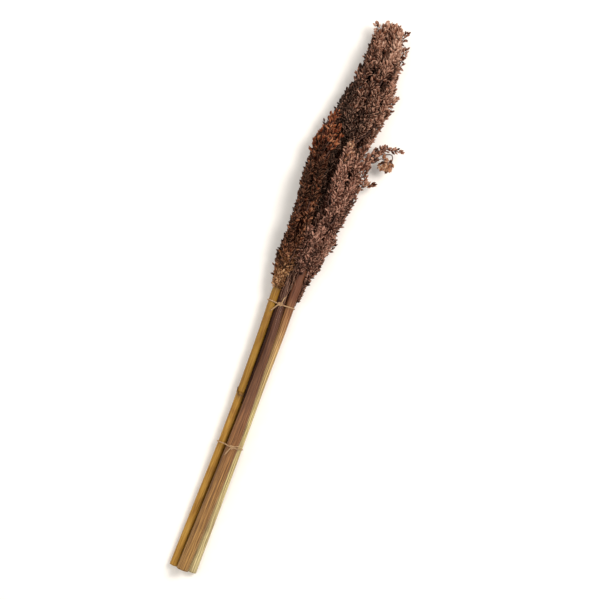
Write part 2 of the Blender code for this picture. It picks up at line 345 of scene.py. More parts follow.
# ---------------------------------------------------------------- shapes read from the frame

RING_BREAK = 6 * MM  # two rings of a CAD stalk are further apart than this
RING_POINTS = 8  # a whole ring has at least this many points


def node_points(name):
    """The separate points of a CAD node."""
    found = np.empty(len(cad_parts[name].data.vertices) * 3, np.float32)
    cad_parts[name].data.vertices.foreach_get("co", found)
    return np.unique(np.round(found.reshape(-1, 3).astype(float), 6), axis=0)


def stalk_line(name):
    """The middle line of a CAD stalk with its radius: one row of x, y, z, radius for each ring."""
    points = node_points(name)
    points = points[np.argsort(points[:, 1])]
    rings = np.split(points, np.flatnonzero(np.diff(points[:, 1]) > RING_BREAK) + 1)
    rings = [ring for ring in rings if len(ring) >= RING_POINTS]
    centres = np.array([ring.mean(axis=0) for ring in rings])
    radii = [np.linalg.norm(ring - centre, axis=1).max() for ring, centre in zip(rings, centres)]
    return np.column_stack([centres, radii])


def line_at(line, y):
    """x, z and radius of a stalk's line where it passes y."""
    return read_columns(y, line[:, 1], line[:, (0, 2, 3)])


# The shapes of the heads and of their loose branches are given in millimetres along the bunch from
# the upper tie, across it, and up from the floor. The left stalk's cut end places them in the frame.
CUT_END = (-9.5, -298.0)
_cut = stalk_line("stalk_left")[0]
ORIGIN = np.array([_cut[0] - CUT_END[0] * MM, _cut[1] - CUT_END[1] * MM, 0.0])
FLOOR_CLEARANCE = 0.15 * MM


def placed(rows):
    """Points given as along, across and height in millimetres, in the frame's own metres."""
    rows = np.asarray(rows, float)
    return ORIGIN + np.stack([rows[..., 1], rows[..., 0], rows[..., 2]], axis=-1) * MM


# Along, left edge, right edge, underside, top.
ENVELOPES = {
    "left": (
        (9, -17.5, -7.5, 11.5, 22),
        (30, -20.5, -6.5, 6, 24.5),
        (50, -24, -4, 2, 27),
        (80, -24.5, -3.5, -1.5, 30),
        (104, -26.4, -5, -1.5, 32),
        (145, -29.5, -8.5, -1.5, 33),
        (178, -30, -11, -1, 31),
        (196, -27, -12, 1, 28),
        (207, -24, -14, 3, 26),
    ),
    "long": (
        (16, -7.5, 1.5, 7, 20.5),
        (44, -9, 3, 3, 20),
        (60, -11, 4, 0, 17),
        (110, -14, 9, -1.5, 17),
        (160, -16, 15, -1.5, 19),
        (184, -19, 24, -1.5, 24),
        (204, -22, 29, -1.5, 33),
        (236, -20, 30, -1.5, 36),
        (270, -13.5, 27, -1, 34),
        (298, -13, 23, 0, 31),
        (314, -12, 20, 2, 28),
    ),
    "right": (
        (2, 10.5, 13.2, 9.5, 18),
        (26, 9.5, 14.8, 8, 21.5),
        (42, 8.5, 19.5, 4, 23.5),
        (56, 1, 22, 0, 30),
        (85, -1, 24.5, -1.5, 34),
        (120, -1, 29, -1.5, 37),
        (148, 0, 28.5, -1.5, 36.5),
        (164, 0.5, 19, 1, 35),
        (176, 1.5, 13, 8, 33),
        (185, 2.5, 9.5, 14, 31),
    ),
}
BASE_ROUND = {"left": 10.0, "long": 14.0, "right": 8.0}  # length over which a head closes at its base
TIP_ROUND = {"left": 16.0, "long": 7.0, "right": 16.0}  # and at its tip


def smooth_columns(rows, along):
    """The columns of a table at any place along it, on cubics that are level where the table peaks."""
    table = np.array(rows, float)
    spans = np.diff(table[:, 0])
    slopes = np.diff(table[:, 1:], axis=0) / spans[:, None]
    inner = np.where(slopes[:-1] * slopes[1:] > 0, (slopes[:-1] + slopes[1:]) / 2.0, 0.0)
    bends = np.vstack([slopes[:1], inner, slopes[-1:]])
    where = np.clip(np.asarray(along, float), table[0, 0], table[-1, 0])
    index = np.clip(np.searchsorted(table[:, 0], where, side="right") - 1, 0, len(spans) - 1)
    part = ((where - table[index, 0]) / spans[index])[..., None]
    span = spans[index][..., None]
    start, end = table[index, 1:], table[index + 1, 1:]
    rise = 3 * part**2 - 2 * part**3
    lead = (part**3 - 2 * part**2 + part) * bends[index] + (part**3 - part**2) * bends[index + 1]
    return start * (1 - rise) + end * rise + span * lead


class Envelope:
    """The outside of a seed head: an ellipse at each place along it, which closes at both ends.

    At half width a and half height b, the reach in direction t is 1 / sqrt((cos t / a)^2 +
    (sin t / b)^2), times a quarter ellipse at the head's base and tip, and stops at the floor.
    """

    def __init__(self, key):
        rows = ENVELOPES[key]
        along = np.linspace(rows[0][0], rows[-1][0], 240)
        left, right, low, high = np.moveaxis(smooth_columns(rows, along), -1, 0)
        self.y = ORIGIN[1] + along * MM
        self.middle = np.stack([ORIGIN[0] + (left + right) / 2 * MM, (low + high) / 2 * MM], axis=-1)
        self.half = np.stack([(right - left) / 2 * MM, (high - low) / 2 * MM], axis=-1)
        from_base = np.clip((along - along[0]) / BASE_ROUND[key], 0.0, 1.0)
        from_tip = np.clip((along[-1] - along) / TIP_ROUND[key], 0.0, 1.0)
        self.closing = np.sqrt(1 - (1 - from_base) ** 2) * np.sqrt(1 - (1 - from_tip) ** 2)
        self.start, self.end = self.y[0], self.y[-1]

    def centre(self, y):
        return read_columns(y, self.y, self.middle)

    def radius(self, y, turn):
        wide, tall = (np.interp(y, self.y, column) for column in self.half.T)
        closing = np.interp(y, self.y, self.closing)
        sine = np.sin(turn)
        full = 1.0 / np.sqrt((np.cos(turn) / wide) ** 2 + (sine / tall) ** 2)
        height = np.interp(y, self.y, self.middle[:, 1])
        floor = np.where(sine < 0, height / np.maximum(-sine, 1e-6), 1.0)
        return np.minimum(full * closing, floor)

    def share(self, points):
        """How far out points lie: 0 on the middle line, 1 on the skin, more outside."""
        middle = self.centre(points[..., 1])
        across, up = points[..., 0] - middle[..., 0], points[..., 2] - middle[..., 1]
        reach = np.maximum(self.radius(points[..., 1], np.arctan2(up, across)), 1e-4)
        beyond = np.maximum(self.start - points[..., 1], points[..., 1] - self.end)
        return np.hypot(across, up) / reach + np.maximum(beyond, 0.0) / MM


# ---------------------------------------------------------------- colours

HUSKS = {
    "left": {
        "shades": ("#190702", "#2c1006", "#431c0d", "#65331c", "#955b3a"),
        "crown": ("#300e06", "#54200f", "#783a20", "#995634", "#bb7b56"),
        "foot": ("#2e1705", "#563416", "#7d552e", "#a47a4f", "#cfab80"),
        "pale_rim_and_highlight": "#a97c60",
    },
    "long": {
        "shades": ("#220d05", "#3e1e12", "#5b3425", "#7c4f3d", "#aa7c68"),
        "crown": ("#4a2413", "#7c4c36", "#a47560", "#c89c86", "#e9cab7"),
        "foot": ("#160602", "#2b1007", "#3f2014", "#593425", "#7c5141"),
        "pale_rim_and_highlight": "#c39f8a",
    },
    "right": {
        "shades": ("#28100a", "#482619", "#684033", "#8a5d4e", "#b78a78"),
        "crown": ("#4a2714", "#784a31", "#a07050", "#c09370", "#dfbb95"),
        "foot": ("#271009", "#46261b", "#63402f", "#855d4c", "#ab8475"),
        "pale_rim_and_highlight": "#c9a08c",
    },
}
# Each stalk: the record's slot, the colour of its streaks, how much of it is streaked, how much thicker
# than its CAD solid it is, and its zones, which are placed in shares of its length from the cut end.
STALKS = {
    "stalk_left": (
        "stalk_golden", "#5d3e16", 0.3, 0.0, ((0.0, "#a88344"), (0.6, "#94692a"), (1.0, "#6d4a2a"))
    ),
    "stalk_middle": (
        "stalk_mauve", "#3a1b10", 0.6, 0.0,
        ((0.0, "#bd9152"), (0.3, "#aa7d49"), (0.42, "#99693f"), (0.52, "#855a3d"),
         (0.63, "#70492f"), (0.76, "#623b27"), (0.86, "#472518"), (1.0, "#3a1f15")),
    ),
    "stalk_right": (
        "stalk_straw", "#5e3320", 0.65, 0.35 * MM,
        ((0.0, "#ecdfa6"), (0.5, "#e9d995"), (0.6, "#e2cb8b"), (0.7, "#d3ad72"),
         (0.79, "#ab7c4f"), (0.86, "#774c37"), (0.93, "#6b4431"), (1.0, "#5f3a2c")),
    ),
}
SHEATH_SHADES = ("#7c5010", "#a3762a", "#b38836", "#c5a055")
TWINE_SHADES = ("#6a4a33", "#a98762", "#d9bd96")


# ---------------------------------------------------------------- settings


def measure(name, description, size):
    """A length that starts at this many millimetres."""
    return FloatProperty(name=name, description=description, default=size * MM, unit="LENGTH")


def amount(name, description, usual, least):
    return IntProperty(name=name, description=description, default=usual, min=least)


class GrainSizes(bpy.types.PropertyGroup):
    length: measure("Grain length", "A husked grain from foot to point", 4.9)
    width: measure("Grain width", "Across both husks", 2.55)
    thickness: measure("Grain thickness", "Through both husks", 2.15)
    branch_length: measure("Branch length", "A branch of a head, foot to tip", 48.0)
    branch_gap: measure("Branch spacing", "Between branch tips on a head", 16.5)
    raceme_length: measure("Raceme length", "A raceme of grains, foot to tip", 6.4)
    raceme_reach: measure("Raceme reach", "How far a raceme and its grains stand out", 3.2)
    unevenness: measure("Unevenness", "How much deeper some branches lie", 1.7)
    per_raceme: amount("Grains in a raceme", "Grains on one raceme", 5, 3)


class StalkSizes(bpy.types.PropertyGroup):
    rib_depth: measure("Rib depth", "Height of the fine ribs on a stalk", 0.07)
    leaf: measure("Leaf thickness", "Thickness of a leaf sheath", 0.3)
    pith_inset: measure("Pith inset", "How far the pith has shrunk in", 0.5)


class TwineSizes(bpy.types.PropertyGroup):
    ply: measure("Ply radius", "Radius of one ply of the twine", 0.36)
    lay: measure("Lay length", "Length of one turn of the plies", 3.2)
    plies: amount("Plies", "Number of twisted plies", 3, 2)


def colour_property(name, description, codes):
    """A colour that starts as the middle one of a row of shades."""
    middle = linear(codes[len(codes) // 2])[:3]
    return FloatVectorProperty(
        name=name, description=description, default=middle, subtype="COLOR", min=0.0, max=1.0
    )


def rind_codes(node):
    return [code for _, code in STALKS[node][-1]]


class BunchColours(bpy.types.PropertyGroup):
    head_left: colour_property("Left head", "Middle shade of its husks", HUSKS["left"]["shades"])
    head_long: colour_property("Long head", "Middle shade of its husks", HUSKS["long"]["shades"])
    head_right: colour_property("Right head", "Middle shade of its husks", HUSKS["right"]["shades"])
    stalk_left: colour_property("Left stalk", "Its rind in the middle", rind_codes("stalk_left"))
    stalk_middle: colour_property("Middle stalk", "Its rind in the middle", rind_codes("stalk_middle"))
    stalk_right: colour_property("Right stalk", "Its rind in the middle", rind_codes("stalk_right"))
    sheath: colour_property("Leaf sheaths", "Middle shade of the rolled leaves", SHEATH_SHADES)
    twine: colour_property("Twine", "Middle shade of its fibres", TWINE_SHADES)


# ---------------------------------------------------------------- materials


def husk_material(name, shades, crown, foot, pale_rim_and_highlight):
    """Dried sorghum husk: a thin, stiff, parallel-veined hull, satin where it faces the light.

    Each grain has its own shade. The crown and foot of a head have shades of their own, the husk is
    darker where it leaves its stem, and its margins and point are pale, partly as dry margins and partly
    as a painted highlight. Hulls deep inside the head carry a painted shade, nearly black.
    """
    made, tree, shader = blank_material(name)
    shade = attribute(tree, "shade")
    split = add(tree, "ShaderNodeSeparateXYZ", {"Vector": own_map(tree, "husk")}).outputs
    colour = ramp(tree, shade, even_stops(shades))
    for zone, codes in (("crown", crown), ("base", foot)):
        zoned = ramp(tree, shade, even_stops(codes))
        colour = blend(tree, attribute(tree, zone), colour, zoned)

    # Blotches about 1.2 mm across, as the hull weathers.
    blotch = noise(tree, object_place(tree), 1.2 * MM, 3.0)
    weather = ramp(tree, blotch, [(0.3, "#b4a49c"), (0.72, "#ffffff")])
    colour = blend(tree, 0.85, colour, weather, "MULTIPLY")
    along = ramp(tree, split["Y"], [(0.0, "#8a7468"), (0.3, "#f2ece8"), (1.0, "#ffffff")])
    colour = blend(tree, 1.0, colour, along, "MULTIPLY")

    # The two margins of the husk run up its sides, and meet at its point. Their pale colour is partly the
    # dry margin and partly a painted highlight.
    margin = calc(tree, "COSINE", calc(tree, "MULTIPLY", split["X"], 2 * FULL_TURN))
    pale = calc(tree, "MAXIMUM", remap(tree, margin, (0.55, 1.0)), remap(tree, split["Y"], (0.72, 1.0)))
    # The darkest hulls have the least of it.
    rim_weight = remap(tree, shade, (0.0, 1.0), (0.15, 0.9))
    colour = blend(tree, calc(tree, "MULTIPLY", pale, rim_weight), colour, pale_rim_and_highlight)
    # Painted shade: hulls inside the head are darkened nearly to black.
    colour = blend(tree, attribute(tree, "deep"), colour, "#2c0f06")

    # Veins run up the husk about 0.3 mm apart.
    veins = calc(tree, "SINE", calc(tree, "MULTIPLY", split["X"], 22 * FULL_TURN))
    surface = {
        "Base Color": colour,
        "Normal": relief(tree, veins, 0.35, 0.04),
        "Roughness": remap(tree, blotch, (0.0, 1.0), (0.5, 0.75)),
        "IOR": 1.46,
        "Specular IOR Level": 0.09,
    }
    feed(tree, shader, surface)
    return made


def fibre_material(name, stops, bump, roughness, detail=4.0, drawn=None, gloss=0.5):
    """A fibrous material: its colour and its fine relief follow one noise.

    drawn stretches the noise in object space, where its patches are half a millimetre, or it is the
    width and length of the patches in millimetres on the skin map. bump is (strength, depth).
    """
    made, tree, shader = blank_material(name)
    if drawn and len(drawn) == 2:
        fibre = drawn_noise(tree, own_map(tree, "skin"), *drawn, detail)
    else:
        fibre = noise(tree, object_place(tree), 0.5 * MM, detail, drawn)
    surface = {
        "Base Color": ramp(tree, fibre, stops),
        "Normal": relief(tree, fibre, *bump),
        "Roughness": roughness,
        "Specular IOR Level": gloss,
    }
    feed(tree, shader, surface)
    return made


def stem_material(name, codes):
    """Dried panicle branches: thin, angular, fibrous stems, dull and a little red."""
    return fibre_material(name, even_stops(codes, 0.25, 0.5), (0.4, 0.05), 0.7, 3.0, (1.0, 0.12, 1.0))


def twine_material(chosen):
    """Natural fibre twine: dull straw-coloured strands, darker down between the plies."""
    stops = even_stops(shades_of(TWINE_SHADES, chosen), 0.25, 0.5)
    return fibre_material("twisted_straw_twine", stops, (0.5, 0.06), 0.85)


def shaded_gap_leaf_material():
    """A leaf that has withered: nearly black-brown, partly its own colour and partly painted shade for
    the gap it lies in; matt, with a few paler fibres along it.
    """
    stops = [(0.3, "#1d0c07"), (0.55, "#361c13"), (0.68, "#5e3d2c"), (0.78, "#8a6850")]
    return fibre_material("withered_leaf_painted_shade", stops, (0.5, 0.08), 0.8, drawn=(0.6, 22), gloss=0.2)


def stalk_material(name, zones, streak, streak_share):
    """Dried sorghum stalk: a hard waxy rind with fine parallel ribs, round a spongy pith.

    zones are (share of the length, linear colour) stops from the cut end to the head. Streaks 1 mm
    wide and 70 mm long follow the stalk, with fine fibres and small dark specks over them.
    """
    made, tree, shader = blank_material(name)
    skin, place = own_map(tree, "skin"), object_place(tree)
    cut = attribute(tree, "pith")

    # The zones' ends wander by 4 hundredths of the length.
    wander = noise(tree, place, 30 * MM, 2.0)
    shifted = calc(tree, "MULTIPLY_ADD", wander, 0.08, attribute(tree, "height"))
    colour = ramp(tree, calc(tree, "SUBTRACT", shifted, 0.04), zones)

    bands = drawn_noise(tree, skin, 1.2, 70.0, 2.5)
    edge = 0.3 * streak_share
    mask = ramp(tree, bands, [(0.56 - edge, "#000000"), (0.8 - edge, "#ffffff")])
    colour = blend(tree, calc(tree, "MULTIPLY", mask, 0.78), colour, streak)
    # Streak colour on the up-left side: partly own colour, partly painted shade.
    colour = blend(tree, calc(tree, "MULTIPLY", attribute(tree, "blush"), 0.75), colour, streak)
    worn = ramp(tree, drawn_noise(tree, skin, 0.9, 45.0, 2.0), [(0.5, "#000000"), (0.68, "#c08a58")])
    colour = blend(tree, 0.12, colour, worn, "SCREEN")
    fibres = drawn_noise(tree, skin, 0.35, 14.0, 4.0)
    tone = ramp(tree, fibres, [(0.3, "#7c6a5c"), (0.55, "#ffffff")])
    colour = blend(tree, 0.8, colour, tone, "MULTIPLY")
    spots = ramp(tree, drawn_noise(tree, skin, 0.9, 2.4, 2.0), [(0.66, "#ffffff"), (0.74, "#8a7058")])
    colour = blend(tree, 0.6, colour, spots, "MULTIPLY")

    # The pith shows its cells, about half a millimetre across.
    cells = add(tree, "ShaderNodeTexVoronoi", {"Vector": place, "Scale": 1 / (0.55 * MM)})
    sponge = ramp(tree, cells.outputs["Distance"], [(0.0, "#8d6f49"), (0.5, "#d9c49a")])
    waxy = remap(tree, fibres, (0.0, 1.0), (0.66, 0.44))
    surface = {
        "Base Color": blend(tree, cut, colour, sponge),
        "Normal": relief(tree, calc(tree, "ADD", fibres, bands), 0.35, 0.08),
        "Roughness": calc(tree, "MULTIPLY_ADD", cut, 0.5, waxy),
        "IOR": 1.47,
        "Specular IOR Level": 0.3,
    }
    feed(tree, shader, surface)
    return made


def sheath_material(name, shades):
    """Dried leaf sheath: papery, golden, with parallel veins 0.7 mm apart and a satin wax."""
    made, tree, shader = blank_material(name)
    skin = own_map(tree, "skin")
    bands = drawn_noise(tree, skin, 1.1, 26, 4.0)
    colour = ramp(tree, bands, even_stops(shades, 0.28, 0.5))
    stain = noise(tree, object_place(tree), 16 * MM, 3.0)
    stain = ramp(tree, stain, [(0.5, "#000000"), (0.72, "#ffffff")])
    colour = blend(tree, calc(tree, "MULTIPLY", stain, 0.5), colour, "#7a4d20")
    # Browner near the top edge and at the free margin; at the margin this is partly painted shade.
    colour = blend(tree, attribute(tree, "aged"), colour, "#3c2312")
    round_it = add(tree, "ShaderNodeSeparateXYZ", {"Vector": skin}).outputs["X"]
    vein = calc(tree, "SINE", calc(tree, "MULTIPLY", round_it, FULL_TURN / (0.7 * MM)))
    colour = blend(tree, 0.55, colour, remap(tree, vein, (-1.0, 1.0), (0.8, 1.0)), "MULTIPLY")
    surface = {
        "Base Color": colour,
        "Normal": relief(tree, calc(tree, "MULTIPLY_ADD", vein, 0.5, bands), 0.5, 0.06),
        "Roughness": remap(tree, bands, (0.0, 1.0), (0.66, 0.5)),
        "Specular IOR Level": 0.3,
    }
    feed(tree, shader, surface)
    return made


# ---------------------------------------------------------------- grains

HUSK_SIDES = 6
# Rings of a husk between its foot and its point: share of the length, share of the full width.
HUSK_RINGS = ((0.13, 0.68), (0.42, 1.0), (0.76, 0.66))


def husk_faces():
    """Quads and triangles of one husk, with each corner's place round (0 to 1) and up (0 to 1)."""
    quads, triangles = tube_faces(len(HUSK_RINGS), HUSK_SIDES)
    heights = np.array([share for share, _ in HUSK_RINGS])
    last = len(HUSK_RINGS) * HUSK_SIDES

    def corner_places(faces):
        around = np.where(faces < last, faces % HUSK_SIDES, 0) / HUSK_SIDES
        wraps = (around == 0) & (faces < last) & (around.max(axis=1) > 0.7)[:, None]
        around = np.where(wraps, 1.0, around)
        up = np.where(faces < last, heights[np.minimum(faces // HUSK_SIDES, len(heights) - 1)], 0.0)
        up = np.where(faces == last + 1, 1.0, up)
        if faces.shape[1] == 3:
            around[:, 2] = around[:, :2].mean(axis=1)
        return np.stack([around, up], axis=-1)

    return quads, triangles, corner_places(quads), corner_places(triangles)


def husk_points(foot, way, side, length, width, thickness, curl):
    """Points of many husks.

    Ring k lies at share t of the length along way, and round it goes the ellipse
    width/2 * w(t) * cos a * side + thickness/2 * w(t) * sin a * back. The point curls by
    curl * t^2 towards back, which is across both way and side.
    """
    back = np.cross(way, side)
    angle = even_angles(HUSK_SIDES)[:, None]
    rings = []
    for share, swell in HUSK_RINGS:
        centre = foot + way * (share * length)[:, None] + back * (curl * length * share**2)[:, None]
        across = side * (0.5 * swell * width)[:, None]
        through = back * (0.5 * swell * thickness)[:, None]
        rings.append(centre[:, None] + np.cos(angle) * across[:, None] + np.sin(angle) * through[:, None])
    tip = foot + way * length[:, None] + back * (curl * length)[:, None]
    return np.concatenate([*rings, foot[:, None], tip[:, None]], axis=1)


GRAIN_MEASURES = ("foot", "way", "side", "length", "width", "thickness", "curl")
GRAIN_LOOKS = ("shade", "crown", "base", "deep")
BAKE_INSET = 0.14  # the share of a bake cell that stays free at each of its edges


def grains_piece(name, grains, material):
    """One mesh of many husked grains, with a bake map that gives each grain a cell of its own."""
    points = husk_points(*(grains[key] for key in GRAIN_MEASURES))
    lift = np.maximum(0.0, FLOOR_CLEARANCE - points[:, :, 2].min(axis=1))
    points[:, :, 2] += lift[:, None]
    count, each = points.shape[:2]
    quads, triangles, *corners = husk_faces()
    shift = (np.arange(count) * each)[:, None, None]
    cells = math.ceil(math.sqrt(count))
    cell = np.stack([np.arange(count) % cells, np.arange(count) // cells], axis=-1)[:, None, None]
    husk_uv = [np.broadcast_to(places, (count, *places.shape)).reshape(-1, 2) for places in corners]
    bake_uv = [
        ((cell + BAKE_INSET + (1 - 2 * BAKE_INSET) * places) / cells).reshape(-1, 2) for places in corners
    ]
    return piece(
        name,
        points.reshape(-1, 3),
        [(quads + shift).reshape(-1, 4), (triangles + shift).reshape(-1, 3)],
        material,
        {"husk": np.concatenate(husk_uv), "OFBake": np.concatenate(bake_uv)},
        {key: np.repeat(grains[key], each) for key in GRAIN_LOOKS},
    )


GOLDEN_TURN = math.pi * (3.0 - math.sqrt(5.0))
GOLDEN_SHARE = 0.618034


def along_paths(values, rows):
    """Rows of an array (paths, points, 3) read at shares of its length."""
    index = rows * (values.shape[1] - 1)
    low = np.minimum(index.astype(int), values.shape[1] - 2)
    part = (index - low)[..., :, None]
    return values[:, low] * (1 - part) + values[:, low + 1] * part


# Along a raceme, at shares of its length: the lean of a grain from the stem in degrees, its gap from
# the stem in millimetres, and its size.
FIRST_GRAIN = 0.16
GRAIN_LEAN = ((0.0, 0.7, 1.0), (38.0, 30.0, 6.0))
GRAIN_GAP = ((0.0, 0.7, 1.0), (0.9, 0.7, 0.1))
GRAIN_SIZE = ((0.0, 1.0), (1.05, 0.88))
SHADE_SPREAD = 0.24
BLEACHED = (0.95, 0.4)  # one grain in twenty is this much paler


def raceme_grains(paths, out, base_shade, sizes, random, each, size=1.0):
    """Grains set round the stems of many racemes, each a golden turn on from the last.

    A grain leans from its stem by an angle that closes from about 38 degrees near the raceme's foot
    to 6 at its tip. size is one number, or one for each raceme.
    """
    along, first, second = frames(paths, out)
    count = len(paths)
    rows = np.linspace(FIRST_GRAIN, 1.0, each)
    stem, along, first, second = (along_paths(v, rows) for v in (paths, along, first, second))
    turn = np.arange(each)[None] * GOLDEN_TURN + random.uniform(0, FULL_TURN, (count, 1))
    turn = turn + random.normal(0.0, 0.35, turn.shape)
    lean = np.radians(np.interp(rows, *GRAIN_LEAN))[None]
    lean = lean + random.normal(0.0, 0.26, turn.shape)
    outward, across = swung(turn, first, second), swung(turn, second, -first)
    way = unit(swung(lean, along, outward))
    gap = np.interp(rows, *GRAIN_GAP) * MM
    scale = random.normal(1.0, 0.13, turn.shape).clip(0.68, 1.35) * np.interp(rows, *GRAIN_SIZE)
    scale = scale * np.broadcast_to(size, (count,))[:, None]
    shade = base_shade[:, None] + random.normal(0.0, SHADE_SPREAD, turn.shape)
    shade = shade + BLEACHED[1] * (random.uniform(0, 1, turn.shape) > BLEACHED[0])
    return {
        "foot": (stem + outward * gap[None, :, None]).reshape(-1, 3),
        "way": way.reshape(-1, 3),
        "side": unit(across + random.normal(0, 0.3, across.shape)).reshape(-1, 3),
        "length": (scale * sizes.length).ravel(),
        "width": (scale * sizes.width * random.normal(1.0, 0.1, scale.shape)).ravel(),
        "thickness": (scale * sizes.thickness).ravel(),
        "curl": random.normal(0.02, 0.06, scale.size),
        "shade": shade.ravel(),
    }


def straighten(grains):
    """Makes each grain's side axis square to its length."""
    side = grains["side"] - np.sum(grains["side"] * grains["way"], axis=-1, keepdims=True) * grains["way"]
    grains["side"] = unit(side)
    return grains


def together(*parts):
    return {key: np.concatenate([part[key] for part in parts]) for key in parts[0]}


BRANCH_POINTS = 10
ROW_ENDS = (0.9, 0.1)  # the first and last rows stand this many spacings in from a head's ends
CROWN_DEPTH = 0.6  # the head's width in its crown is taken this many spacings below its tip
CROWN_FILL = (0.5, 0.92)  # spacing of the crown's branches, and how far out they reach
CROWN_DROP = (2.5 * MM, 3 * MM)  # how far below the tip the crown's middle is, and its rim below that
RISE_SHARE = 0.5  # a branch reaches the head's side at this share of its length
RISE_START = 0.4  # how far out it starts, as a share of the way to the side


def branch_tips(outline, sizes, random):
    """Where the tips of a head's branches lie: evenly spread over its sides and its rounded crown.

    Rows stand a spacing apart along the head. Each holds as many branches as its girth has room for,
    and every other row is turned by half a space.
    """
    gap = sizes.branch_gap
    rows = np.arange(outline.start + ROW_ENDS[0] * gap, outline.end - ROW_ENDS[1] * gap, gap)
    around = even_angles(40)
    found = []
    for number, y in enumerate(rows):
        girth = FULL_TURN * outline.radius(y, around).mean()
        room = max(2, round(girth / gap))
        turn = (np.arange(room) + 0.5 * (number % 2)) / room * FULL_TURN
        found.append(np.column_stack([np.full(room, y), turn, np.ones(room)]))
    wide = outline.radius(outline.end - CROWN_DEPTH * gap, around).mean()
    filled = max(5, round(math.pi * wide**2 / (CROWN_FILL[0] * gap) ** 2))
    share = np.sqrt((np.arange(filled) + 0.5) / filled) * CROWN_FILL[1]
    turn = np.arange(filled) * GOLDEN_TURN
    crown = np.column_stack([outline.end - CROWN_DROP[0] - CROWN_DROP[1] * share**2, turn, share])
    tips = np.concatenate(found)
    tips[:, 0] += random.normal(0, 0.22 * gap, len(tips))
    tips[:, 1] += random.normal(0, 0.16, len(tips))
    tips[:, 0] = np.minimum(tips[:, 0], outline.end - 2 * MM)
    crown[:, 0] += random.normal(0, 1.2, filled) * MM
    return np.concatenate([tips, crown])


def branch_paths(outline, tips, sizes, random):
    """A head's branches: each rises from inside the head and bends out until it runs up its side."""
    count = len(tips)
    length = sizes.branch_length * random.uniform(0.8, 1.2, count)
    y_tip = tips[:, 0]
    y_foot = np.maximum(y_tip - length, outline.start + 1.5 * MM)
    part = np.linspace(0.0, 1.0, BRANCH_POINTS)[None]
    y = y_foot[:, None] + (y_tip - y_foot)[:, None] * part
    depth = sizes.raceme_reach + random.exponential(sizes.unevenness, (count, 1))
    turn = tips[:, 1:2] + random.normal(0.0, 0.2, (count, 1)) * (part - 1.0)
    at = np.clip(y, outline.start, outline.end - 5 * MM)
    radius = outline.radius(at, turn)
    full = np.maximum(radius - depth, 0.2 * radius) * tips[:, 2:3]
    rise = RISE_START + (1 - RISE_START) * np.sin(np.minimum(part / RISE_SHARE, 1.0) * math.pi / 2)
    flick = smoothstep(part, 0.75, 1.0) * random.uniform(-1.0, 1.6, (count, 1)) * MM
    reach = np.maximum(full * rise + flick, 0.0)
    middle = outline.centre(at)
    x, z = middle[..., 0] + reach * np.cos(turn), middle[..., 1] + reach * np.sin(turn)
    out = np.stack([np.cos(turn), np.zeros_like(turn), np.sin(turn)], axis=-1)
    return np.stack([x, y, z], axis=-1), out


# Along a branch, at shares of its bearing length: the length of its racemes, and their lean in degrees.
LAST_STATION = 0.985
RACEME_LENGTH = ((0.0, 0.15, 0.75, 1.0), (0.85, 1.0, 0.9, 0.6))
RACEME_LEAN = ((0.0, 0.8, 1.0), (33.0, 28.0, 12.0))


def raceme_paths(paths, out, branch_shade, length, random, start, stations, fan, spread=1.0):
    """The racemes of many branches, as short curved stems that lean up and outwards.

    Two racemes leave each station of a branch. Their turns round it are spread evenly over the
    outer side, as far as the fan on each side of straight out.
    """
    count = len(paths)
    along, first, second = frames(paths, out)
    rows = np.repeat(np.linspace(start, LAST_STATION, stations), 2)
    number = np.arange(len(rows))
    stem, along, first, second = (along_paths(v, rows) for v in (paths, along, first, second))
    golden = np.mod(number * GOLDEN_SHARE + random.uniform(0, 1, (count, 1)), 1.0)
    turn = np.radians(fan) * (2 * golden - 1) + random.normal(0, 0.15, golden.shape)
    outward = swung(turn, first, second)
    share = (rows - start) / (1 - start)
    uneven = random.normal(1.0, 0.14, golden.shape).clip(0.65, 1.4)
    length = length * np.interp(share, *RACEME_LENGTH) * uneven
    lean = np.radians(np.interp(share, *RACEME_LEAN)) * spread
    lean = lean + random.normal(0, 0.2, golden.shape)
    half = stem + swung(lean, along, outward) * (0.5 * length)[..., None]
    tip = half + swung(0.6 * lean, along, outward) * (0.5 * length)[..., None]
    found = np.stack([stem, (stem + half) / 2, half, (half + tip) / 2, tip], axis=2)
    shade = branch_shade[:, None] + random.normal(0.0, 0.1, golden.shape)
    outs = np.repeat(outward[:, :, None], 5, axis=2)
    return found.reshape(-1, 5, 3), outs.reshape(-1, 5, 3), shade.ravel()


# Painted shade inside the heads.
INNER_PAINTED_SHADE = 0.9  # how much of their colour the hulls deep inside a head lose

# The mean shade of a head's grains, and how much paler they are at its right edge and at its tip. The
# paler right edge is partly the heads' own colour and partly painted light from the right.
TONE = {"left": (0.28, 0.06, -0.08), "long": (0.34, 0.3, 0.06), "right": (0.42, 0.0, 0.1)}

# Hollows on a head's front, where grains have been knocked off: along, across, radius.
HOLLOWS = {
    "left": (
        (118, -13, 3), (104, -17, 2.6), (90, -12, 3), (138, -20, 2.4), (66, -13, 2.6), (152, -15, 2.4)
    ),
    "long": (
        (281, 4, 4.2), (264, 1, 2.6), (252, 6, 2.4), (240, 5.5, 2.8), (228, 6, 2.6), (216, 7.5, 2.4),
        (246, -12, 2.4), (212, -8, 2.4), (290, 13, 2.4), (232, 19, 2.2),
    ),
    "right": (
        (76, 8, 2.6), (58, 1, 3), (104, 16, 2.2), (128, 9, 1.8), (148, 20, 2.4), (92, 20, 2)
    ),
}
HOLLOW_SQUEEZE = 0.55  # the width of a hollow as a share of its length along the bunch


def knocked_off(key, places, outline):
    """Whether places on the front half of a head lie in one of its hollows."""
    hit = np.zeros(len(places), bool)
    for along, across, radius in HOLLOWS[key]:
        centre = placed((along, across, 0))
        away = np.hypot(places[:, 0] - centre[0], (places[:, 1] - centre[1]) * HOLLOW_SQUEEZE)
        hit |= away < radius * MM
    return hit & (places[:, 2] > outline.centre(places[:, 1])[:, 1])


